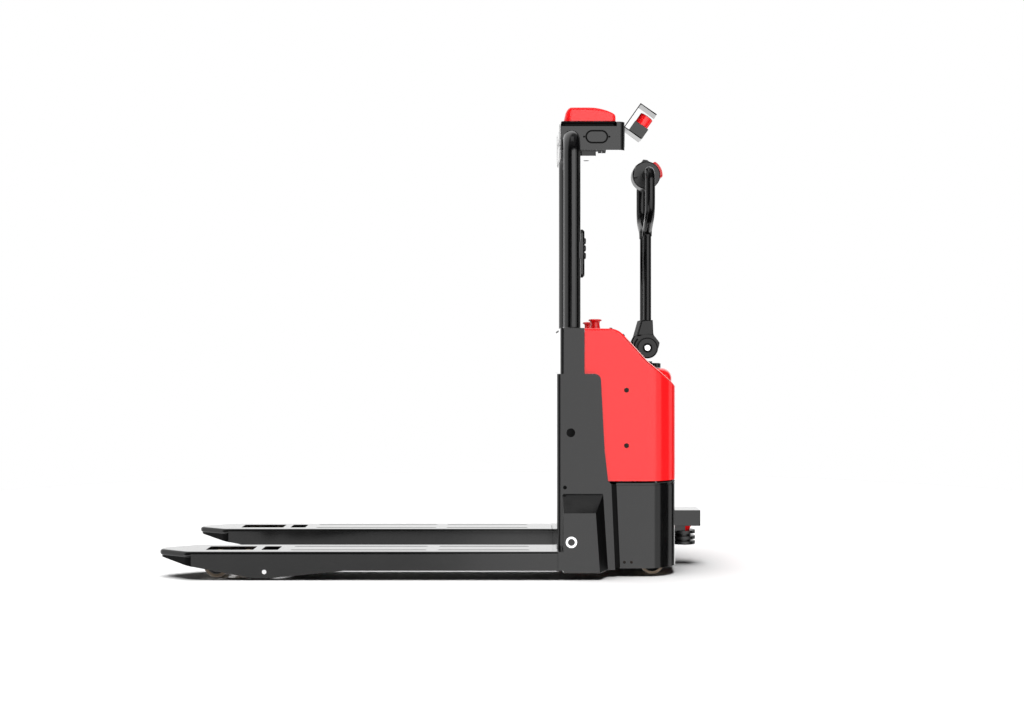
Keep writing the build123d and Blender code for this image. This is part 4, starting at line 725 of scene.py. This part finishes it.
def bead(bm, path, radius, ripple=1.0):
    """A round bead laid along points; a ripple draws in every second ring."""
    points = [Vector(point) for point in path]
    runs = [(there - here).normalized() for here, there in zip(points, points[1:])]
    heading = runs[0]
    start = Matrix.Translation(points[0]) @ heading.to_track_quat("Z", "X").to_matrix().to_4x4()
    ring = bmesh.ops.create_circle(bm, cap_ends=True, segments=BEAD_SIDES, radius=radius, matrix=start)
    face = ring["verts"][0].link_faces[0]
    for step, place in enumerate(points[1:]):
        grown = bmesh.ops.extrude_face_region(bm, geom=[face])
        if step:
            bmesh.ops.delete(bm, geom=[face], context="FACES_ONLY")
        face = next(item for item in grown["geom"] if isinstance(item, bmesh.types.BMFace))
        bmesh.ops.translate(bm, verts=face.verts, vec=place - points[step])
        turn = (runs[step] + runs[min(step + 1, len(runs) - 1)]).normalized()
        bend = heading.rotation_difference(turn).to_matrix()
        bmesh.ops.rotate(bm, verts=face.verts, cent=place, matrix=bend)
        heading = turn
        swell = ripple if step % 2 else 1 / ripple
        to_middle = Matrix.Translation(-face.calc_center_median())
        bmesh.ops.scale(bm, vec=(swell, swell, swell), space=to_middle, verts=face.verts)


def weld_bead(bm, start, end, radius):
    """A rippled bead laid along a straight seam."""
    start, end = Vector(start), Vector(end)
    count = max(2, int((end - start).length / WELD_PITCH))
    bead(bm, [start.lerp(end, step / count) for step in range(count + 1)], radius, WELD_RIPPLE)


# Sensor head

def dome_height(x):
    """The dome's height over its foot along the truck."""
    front = max(0.0, DOME_CROWN[0] - x) / (DOME_CROWN[0] - DOME_X[0])
    rear = max(0.0, x - DOME_CROWN[1]) / (DOME_X[1] - DOME_CROWN[1])
    return DOME_RISE - DOME_FRONT_DROP * front ** 2 - DOME_REAR_DROP * rear ** 2


def dome_square(x, y):
    """How much further out a point of a round outline lies on a square one with round corners."""
    if math.hypot(x, y) <= POLE_GAP:
        return 0.0
    return (abs(x) ** DOME_CORNER + abs(y) ** DOME_CORNER) ** (-1 / DOME_CORNER)


def head_dome():
    """A soft box: a half ball pressed towards a block, lower at its two ends."""
    bm = bmesh.new()
    bmesh.ops.create_uvsphere(bm, u_segments=128, v_segments=64, radius=1.0)
    bmesh.ops.bisect_plane(bm, geom=everything(bm), plane_co=(0, 0, 0), plane_no=(0, 0, -1), clear_outer=True)
    bmesh.ops.holes_fill(bm, edges=[edge for edge in bm.edges if edge.is_boundary])
    middle = sum(DOME_X) / 2
    half = (DOME_X[1] - DOME_X[0]) / 2
    for vert in bm.verts:
        square = dome_square(vert.co.x, vert.co.y)
        spread = math.hypot(vert.co.x, vert.co.y) ** (2 / DOME_EDGE)
        x = middle + half * vert.co.x * square * spread
        y = DOME_HALF * vert.co.y * square * spread
        z = dome_height(x) * max(0.0, vert.co.z) ** (2 / DOME_EDGE)
        lean = DOME_LEAN * z * max(0.0, DOME_CROWN[0] - x) / (DOME_CROWN[0] - DOME_X[0])
        vert.co = (x + lean, y, DOME_FOOT + z)
    place_piece("head_dome_shell", closed(bm), "red_cover", "fork_frame", stands_for=("head_dome",))


def window_layer(bm, side, x, half, reach, corner, segments):
    """A flat piece with rounded corners in one of the head's sides."""
    z = WINDOW_PLACE[1]
    outline = box_outline(x - half[0], x + half[0], z - half[1], z + half[1])
    low, high = (side * (HEAD_HALF + out) for out in reach)
    slab(bm, outline, AXIS_Y, low, high, corner, segments)


def side_windows():
    """Blanking plates in the head's sides: a dark gap round each, and two small nubs beside it."""
    plates, gaps, nubs = bmesh.new(), bmesh.new(), bmesh.new()
    x = WINDOW_PLACE[0]
    wide, tall = (size / 2 for size in WINDOW_SIZE)
    inner = (wide - WINDOW_GAP, tall - WINDOW_GAP)
    for side in SIDES:
        window_layer(plates, side, x, inner, PLATE_REACH, inner[1] - ROUND_END_SHAVE, segments=12)
        window_layer(gaps, side, x, (wide, tall), GAP_REACH, tall - ROUND_END_SHAVE, segments=12)
        for end in SIDES:
            nub_x = x + end * (wide + NUB_OFFSET)
            window_layer(nubs, side, nub_x, NUB_HALF, NUB_REACH, NUB_CORNER, segments=3)
    soften(closed(plates), WINDOW_EDGE)
    place_piece("side_window_plates", plates, "dark_paint", "fork_frame", ("side_windows",))
    place_piece("side_window_gaps", closed(gaps), "matt_black", "fork_frame")
    place_piece("side_window_nubs", closed(nubs), "matt_black", "fork_frame")


def front_sensor():
    """A dark glass strip with three framed lenses, and the rim of the plate that looks over the forks."""
    glass, rims, lenses, rim = bmesh.new(), bmesh.new(), bmesh.new(), bmesh.new()
    outline = box_outline(-SENSOR_HALF, SENSOR_HALF, SENSOR_Z - SENSOR_TALL, SENSOR_Z + SENSOR_TALL)
    slab(glass, outline, AXIS_X, *SENSOR_X, SENSOR_CORNER, segments=10)
    soften(closed(glass), SENSOR_EDGE)
    for y, radius in SENSOR_LENSES:
        place = (FACE_X, y, SENSOR_Z)
        ring = [(radius - inset, rise) for inset, rise in LENS_FRAME]
        crown = [(radius * share, rise) for share, rise in LENS_CROWN]
        edge = radius - LENS_INSET
        turned(rims, ring, place, (-1, 0, 0), steps=40, ring=True)
        turned(lenses, crown + [(edge, LENS_EDGE), (edge, 0.0), (0.0, 0.0)], place, (-1, 0, 0), steps=40)
    bead(rim, [(FACE_X, y, z) for y, z in PLATE_RIM], PLATE_RIM_R)
    place_piece("face_plate_rim", closed(rim), "matt_black", "fork_frame")
    place_piece("front_sensor_glass", glass, "dark_glass", "fork_frame")
    place_piece("front_sensor_rims", closed(rims), "black_trim", "fork_frame")
    place_piece("front_sensor_lenses", closed(lenses), "dark_glass", "fork_frame")


# Laser scanner

def lidar_axes():
    """The tilted scanner's corner and its directions along and up."""
    tilt = math.radians(LIDAR_TILT)
    along = Vector((math.cos(tilt), 0, -math.sin(tilt)))
    up = Vector((math.sin(tilt), 0, math.cos(tilt)))
    return Vector((LIDAR_CORNER[0], 0, LIDAR_CORNER[1])), along, up


def lidar_eye():
    """The red window of the scanner and the dark rim over it."""
    corner, along, up = lidar_axes()
    eye = corner + along * LIDAR_EYE
    low, high = LIDAR_EYE_W
    window, rim = bmesh.new(), bmesh.new()
    top = [(LIDAR_EYE_R + out, high - drop) for out, drop in LIDAR_EYE_TOP]
    cap = [(LIDAR_EYE_R + out, high - drop) for out, drop in LIDAR_RIM]
    turned(window, [(0.0, low), (LIDAR_EYE_R, low)] + top + [(0.0, top[-1][1])], eye, up, steps=64)
    turned(rim, [(0.0, cap[0][1])] + cap + [(0.0, high)], eye, up, steps=64)
    place_piece("lidar_window_drum", closed(window), "lidar_red", "fork_frame", stands_for=("lidar_window",))
    place_piece("lidar_rim", closed(rim), "matt_black", "fork_frame")


def laser_scanner():
    """The scanner's foot and window, and the trim and screws of the bracket."""
    corner, along, up = lidar_axes()
    foot, beads, screws = bmesh.new(), bmesh.new(), bmesh.new()
    places = [corner + along * u + up * w for u, w in box_outline(*LIDAR_BASE_U, *LIDAR_BASE_W)]
    slab(foot, [(place.x, place.z) for place in places], AXIS_Y, -LIDAR_BASE_HALF, LIDAR_BASE_HALF)
    soften(closed(foot), LIDAR_BASE_EDGE)
    place_piece("lidar_foot", foot, "dark_paint", "fork_frame", ("lidar_base",))
    lidar_eye()
    fold = [corner + along * u + up * w for u, w in LIDAR_TRIM]
    for side in SIDES:
        bead(beads, [(place.x, side * LIDAR_TRIM_Y, place.z) for place in fold], LIDAR_TRIM_R)
        for z in LIDAR_SCREW_Z:
            socket_screw(screws, (LIDAR_TAB_X, side * LIDAR_SCREW_Y, z), (1, 0, 0), *LIDAR_HEAD)
    place_piece("lidar_bracket_trim", closed(beads), "matt_black", "fork_frame")
    place_piece("lidar_screws", closed(screws), "dark_screw", "fork_frame")


# Operator panel

def panel_face():
    """Button caps and collars, a dark display and two signal strips, on the side that faces the operator."""
    collars, display, strips = bmesh.new(), bmesh.new(), bmesh.new()
    crown = [(BUTTON_R * share, BUTTON_REACH - drop) for share, drop in BUTTON_CROWN]
    for name, z in PANEL_BUTTONS.items():
        node = "panel_button_" + name
        place = (PANEL_FACE, 0, z)
        button = bmesh.new()
        turned(button, crown + [(BUTTON_R, BUTTON_ROOT), (0.0, BUTTON_ROOT)], place, (1, 0, 0))
        place_piece(node + "_cap", closed(button), "black_trim", BODY_OF[node], (node,))
        turned(collars, BUTTON_COLLAR, place, (1, 0, 0), ring=True)
    slab(display, box_outline(-DISPLAY_HALF, DISPLAY_HALF, *DISPLAY_Z), AXIS_X, *DISPLAY_X, DISPLAY_CORNER)
    soften(closed(display), DISPLAY_EDGE)
    for side in SIDES:
        y = side * STRIP_Y
        slab(strips, box_outline(y - STRIP_HALF, y + STRIP_HALF, *STRIP_Z), AXIS_X, *STRIP_X, STRIP_CORNER)
    soften(closed(strips), STRIP_EDGE)
    place_piece("panel_button_collars", closed(collars), "black_trim", "fork_frame")
    place_piece("panel_display", display, "dark_glass", "fork_frame")
    place_piece("panel_signal_strips", strips, "signal_white", "fork_frame")


# Wheels

def wheel(node, place, half, radius, tyre, bore, tread_material="polyurethane", hub_finish="hub_grey"):
    """A moulded tread on a recessed hub."""
    inner = radius - tyre
    tread, hub = bmesh.new(), bmesh.new()
    crown = [(radius - drop, depth - half) for drop, depth in TREAD_CROWN]
    boss = [(bore + step, depth - half) for step, depth in HUB_BOSS]
    rim = [(inner - step, depth - half) for step, depth in HUB_RIM]
    turned(tread, both_ends([(inner, TREAD_SINK - half)] + crown), place, (0, 1, 0), steps=72, ring=True)
    turned(hub, both_ends(boss + rim), place, (0, 1, 0), steps=72, ring=True)
    place_piece(node + "_tread", closed(tread), tread_material, BODY_OF[node], (node,))
    place_piece(node + "_hub", closed(hub), hub_finish, BODY_OF[node])


def wheels():
    """Two load rollers and one caster wheel on each side."""
    for name, side in SIDE_NAMES.items():
        for end, shift in (("_front_roller", -0.5), ("_rear_roller", 0.5)):
            place = (BOGIE_X + shift * ROLLER_PITCH, side * FORK_MID, ROLLER_R)
            wheel(name + end, place, ROLLER_HALF, ROLLER_R, ROLLER_TYRE, ROLLER_BORE)
        place = (CASTER_X, side * CASTER_Y, CASTER_R)
        wheel(name + "_caster_wheel", place, CASTER_HALF, CASTER_R, CASTER_TYRE, CASTER_BORE,
              "caster_tyre", "matt_black")


# Covers

def cover_screws():
    """Domed socket screws in the hood and the skirt."""
    screws = bmesh.new()
    for side in SIDES:
        for x, z in HOOD_SCREWS:
            socket_screw(screws, (x, side * HOOD_HALF, z), (0, side, 0), *HOOD_HEAD)
        for x, z in SKIRT_SCREWS:
            socket_screw(screws, (x, side * SKIRT_HALF, z), (0, side, 0), *SKIRT_HEAD)
    name = "cover_screw_heads"
    place_piece(name, closed(screws), "dark_screw", "chassis", ("cover_screws",))


def shoulder_screws():
    """Screws that stand square on the hood's shoulder."""
    screws = bmesh.new()
    for side in SIDES:
        for x, z, lean in SHOULDER_SCREWS:
            tilt = math.radians(lean)
            square = (math.sin(tilt), 0, math.cos(tilt))
            socket_screw(screws, (x, side * SHOULDER_Y, z), square, *SHOULDER_HEAD)
    place_piece("hood_shoulder_screws", closed(screws), "dark_screw", "chassis")


def slope_path(inset, drop):
    """Points along the near rim of the hood's slope, as (x, distance from the middle, z)."""
    centre_x, centre_y = HOOD_REAR[0] - HOOD_CORNER, HOOD_HALF - HOOD_CORNER
    radius = HOOD_CORNER - inset
    for step in range(SLOPE_STEPS + 1):
        x = SLOPE_START + (HOOD_REAR[0] - inset - SLOPE_END_GAP - SLOPE_START) * step / SLOPE_STEPS
        low, high = (HOOD_CREST, HOOD_KNEE) if x < HOOD_KNEE[0] else (HOOD_KNEE, HOOD_REAR)
        z = low[1] + (high[1] - low[1]) * (x - low[0]) / (high[0] - low[0])
        y = centre_y + math.sqrt(radius ** 2 - max(0.0, x - centre_x) ** 2)
        yield x, y, z - drop


def paint_hood_edge_lines():
    """A pale bead along the rim of the slope that paints a highlight, and a dark red bead under it that
    paints shade.
    """
    for name, (material, inset, drop, radius) in HOOD_EDGE_PAINTED_LINES.items():
        beads = bmesh.new()
        for side in SIDES:
            bead(beads, [(x, side * y, z) for x, y, z in slope_path(inset, drop)], radius)
        place_piece(name, closed(beads), material, "chassis")


def emergency_stops():
    """Two mushroom buttons on the hood: a thin broad cap on a waisted stem."""
    x, y = STOP_PLACE
    tall = STOP_TOP - STOP_FOOT
    profile = [(radius, tall - drop) for radius, drop in STOP_CAP] + [(STOP_FOOT_R, 0.0), (0.0, 0.0)]
    for name, side in SIDE_NAMES.items():
        node = name + "_emergency_stop"
        stop = bmesh.new()
        turned(stop, profile, (x, side * y, STOP_FOOT), (0, 0, 1), steps=64)
        place_piece(node + "_cap", closed(stop), "red_trim", BODY_OF[node], (node,))


def skirt_gap_shade_strips():
    """Matt black strips behind the slanted gaps between the frame's side plates and the skirt: painted shade
    that keeps the gaps dark.
    """
    shade_strips = bmesh.new()
    for side in SIDES:
        slab(shade_strips, GAP_SHADE_OUTLINE, AXIS_Y, side * GAP_SHADE_Y[0], side * GAP_SHADE_Y[1])
    place_piece("skirt_gap_shade_strips", closed(shade_strips), "matt_black", "chassis")


# Fork frame

def tip_outline(side, inset):
    """The tip seen from above, run on past the joint."""
    wide = FORK_HALF - inset
    half = [(TIP_END_X, wide), (TIP_SHOULDER_X, wide), (TIP_X + inset, NOSE_HALF - inset)]
    outer = [(x, side * FORK_MID + y) for x, y in half]
    return outer + [(x, side * FORK_MID - y) for x, y in reversed(half)]


def fork_tips():
    """Each tip is a thick plate with a round rim over a set-back underside that slopes up to the nose."""
    plates, unders = bmesh.new(), bmesh.new()
    joint = (TIP_JOINT_X, 0.0, TIP_UNDER)
    under_top = FORK_TOP - TIP_UNDERCUT
    for side in SIDES:
        slab(plates, tip_outline(side, 0.0), AXIS_Z, FORK_TOP - TIP_PLATE, FORK_TOP, TIP_CORNER)
        slab(unders, tip_outline(side, TIP_UNDERCUT), AXIS_Z, 0.0, under_top, UNDERSIDE_CORNER)
    soften(closed(plates), TIP_RIM, segments=6)
    trimmed(closed(unders), joint, (-TIP_RISE, 0.0, TIP_X - TIP_JOINT_X))
    for bm in (plates, unders):
        trimmed(bm, joint, (1, 0, 0))
    node = "fork_tips"
    place_piece("fork_tip_plates", closed(plates), "fork_paint", BODY_OF[node], (node,))
    # The underside's matt black is painted shade for the dark floor shadow mirrored in its sloped face
    place_piece("fork_tip_undersides", closed(unders), "matt_black", BODY_OF[node])


def frame_details():
    """Small screws in the side plates, a black strip of painted shade for the slot high on the column's
    front, and the weld seams.
    """
    screws, slot, seams = bmesh.new(), bmesh.new(), bmesh.new()
    for side in SIDES:
        y = side * SHELL_HALF
        socket_screw(screws, (PLATE_SCREW[0], y, PLATE_SCREW[1]), (0, side, 0), *PLATE_HEAD)
        root_ends = [(x, y, ROOT_TOP) for x in ROOT_SEAM_X]
        heel_ends = [(HEEL_SEAM_X, side * out, HEEL_SEAM_Z) for out in HEEL_SEAM_Y]
        weld_bead(seams, *root_ends, ROOT_SEAM_R)
        weld_bead(seams, *heel_ends, HEEL_SEAM_R)
        mast_foot = (MAST_X, side * MAST_HALF, COLUMN_TOP)
        turned(seams, MAST_SEAM, mast_foot, (0, 0, 1), steps=56, ring=True)
    slab(slot, box_outline(-SLOT_HALF, SLOT_HALF, *SLOT_Z), AXIS_X, *SLOT_X, SLOT_CORNER)
    place_piece("plate_screws", closed(screws), "matt_black", "fork_frame")
    place_piece("weld_seams", closed(seams), "dark_paint", "fork_frame")
    place_piece("column_slot_shade", closed(slot), "matt_black", "fork_frame")


# Tiller

def joint_gap_shades():
    """Black rings of painted shade in the gaps of the tiller joint: over its round boss, round the boss and
    round the pin.
    """
    gaps = bmesh.new()
    x, z = TILT_AXIS
    for side in SIDES:
        rise = -side * GAP_RISE
        for inner, outer, y, steps, arc in JOINT_GAP_SHADES:
            profile = [(inner, 0.0), (outer, 0.0), (outer, rise), (inner, rise)]
            turned(gaps, profile, (x, side * y, z), (0, -1, 0), steps, ring=True, **arc)
    bmesh.ops.holes_fill(gaps, edges=gaps.edges, sides=4)
    place_piece("joint_gap_shades", closed(gaps), "matt_black", "tiller")


# Nodes that keep their own shape

def dress_nodes():
    """Rounds the edges of the nodes that keep their shape, and gives every node its finish, painted light for
    a few of them.
    """
    for edge, names in EDGE_SIZES.items():
        for name in names:
            dressed(name, edge, FINISH_AND_PAINTED_LIGHT_OF.get(name), *SIDE_PAINTED_LIGHT.get(name, ()))
    for name, node in NODES.items():
        node.data.materials.clear()
        node.data.materials.append(MATERIALS[FINISH_AND_PAINTED_LIGHT_OF.get(name, SLOT_OF[name])])


# Stage: floor, light and camera

def add_to_scene(name, data):
    """A new object in the scene."""
    thing = bpy.data.objects.new(name, data)
    bpy.context.scene.collection.objects.link(thing)
    return thing


def aim(lamp, direction):
    """Turns a lamp to shine in a direction."""
    lamp.rotation_euler = Vector(direction).to_track_quat("-Z", "Y").to_euler()


def studio_floor():
    """A round pale sheet, bright enough to run into the white behind it."""
    bm = bmesh.new()
    middle = Matrix.Translation(FLOOR_MIDDLE)
    bmesh.ops.create_circle(bm, cap_ends=True, segments=128, radius=FLOOR_RADIUS, matrix=middle)
    mesh = bpy.data.meshes.new("floor")
    bm.to_mesh(mesh)
    bm.free()
    floor = add_to_scene("floor", mesh)
    material, tree, shader = new_material("pale_floor")
    tone = noise(tree, object_point(tree), scale=0.6, detail=2.0)
    wire(tree, mix(tree, "RGBA", tone, *FLOOR_TONES), shader.inputs["Base Color"])
    shader.inputs["Roughness"].default_value = FLOOR_ROUGHNESS
    shader.inputs["Specular IOR Level"].default_value = FLOOR_SPECULAR
    mesh.materials.append(material)
    floor.visible_glossy = False
    return floor


def soft_box(name, place, target, width, height, radiance):
    """A rectangular lamp of a given brightness."""
    light = bpy.data.lights.new(name, "AREA")
    light.shape = "RECTANGLE"
    light.size, light.size_y = width, height
    light.energy = radiance * math.pi * width * height
    lamp = add_to_scene(name, light)
    lamp.location = place
    aim(lamp, Vector(target) - Vector(place))
    return lamp


def keep_off(lamp, thing):
    """The lamp no longer lights one thing, so that the shadow under the truck stays dark."""
    unlit = bpy.data.collections.new(lamp.name + "_unlit")
    unlit.objects.link(thing)
    unlit.collection_objects[0].light_linking.link_state = "EXCLUDE"
    lamp.light_linking.receiver_collection = unlit


def floor_wash(floor):
    """A wide lamp from above that lights nothing but the floor."""
    light = bpy.data.lights.new("floor_wash", "SUN")
    light.angle = math.radians(WASH_SPREAD)
    light.energy = WASH_STRENGTH
    lamp = add_to_scene("floor_wash", light)
    aim(lamp, WASH_FALL)
    lit = bpy.data.collections.new("floor_wash_lit")
    lit.objects.link(floor)
    lamp.light_linking.receiver_collection = lit


def studio_light(floor):
    """The floor's own lamp, and the soft boxes that light the truck alone."""
    overhead = soft_box("overhead", *OVERHEAD)
    overhead.visible_glossy = False
    keep_off(overhead, floor)
    floor_wash(floor)
    for name, setting in SOFT_BOXES.items():
        keep_off(soft_box(name, *setting), floor)


def studio_world():
    """White to the eye; mirrored as a white wall far behind the truck and a dim room elsewhere."""
    world = bpy.data.worlds.new("studio")
    bpy.context.scene.world = world
    world.use_nodes = True
    world.cycles_visibility.diffuse = False
    tree = world.node_tree
    seen = tree.nodes["Background"]
    seen.inputs["Color"].default_value = WHITE
    seen.inputs["Strength"].default_value = 1.0
    facing = add_node(tree, "ShaderNodeVectorMath", operation="DOT_PRODUCT")
    wire(tree, tree.nodes.new("ShaderNodeTexCoord").outputs["Generated"], facing.inputs[0])
    facing.inputs[1].default_value = WALL_FACING
    wall = ramp_between(tree, facing.outputs["Value"], *WALL_EDGE)
    room = add_node(tree, "ShaderNodeBackground", Color=WHITE)
    wire(tree, mix(tree, "FLOAT", wall, ROOM_RADIANCE, WALL_RADIANCE), room.inputs["Strength"])
    mixed = tree.nodes.new("ShaderNodeMixShader")
    wire(tree, tree.nodes.new("ShaderNodeLightPath").outputs["Is Camera Ray"], mixed.inputs[0])
    wire(tree, room.outputs[0], mixed.inputs[1])
    wire(tree, seen.outputs[0], mixed.inputs[2])
    wire(tree, mixed.outputs[0], tree.nodes["World Output"].inputs["Surface"])


def camera():
    """The photograph's own view."""
    data = bpy.data.cameras.new("camera")
    data.sensor_width = SENSOR_MM
    data.lens = FOCAL_PIXELS * SENSOR_MM / IMAGE_WIDTH
    data.clip_end = VIEW_END
    eye = add_to_scene("camera", data)
    eye.location = EYE
    eye.rotation_euler = (math.radians(90), 0, 0)
    bpy.context.scene.camera = eye


head_dome()
side_windows()
front_sensor()
laser_scanner()
panel_face()
wheels()
cover_screws()
shoulder_screws()
paint_hood_edge_lines()
emergency_stops()
skirt_gap_shade_strips()
fork_tips()
frame_details()
joint_gap_shades()
dress_nodes()

floor = studio_floor()
studio_world()
studio_light(floor)
camera()
bpy.context.scene.view_settings.view_transform = "Standard"
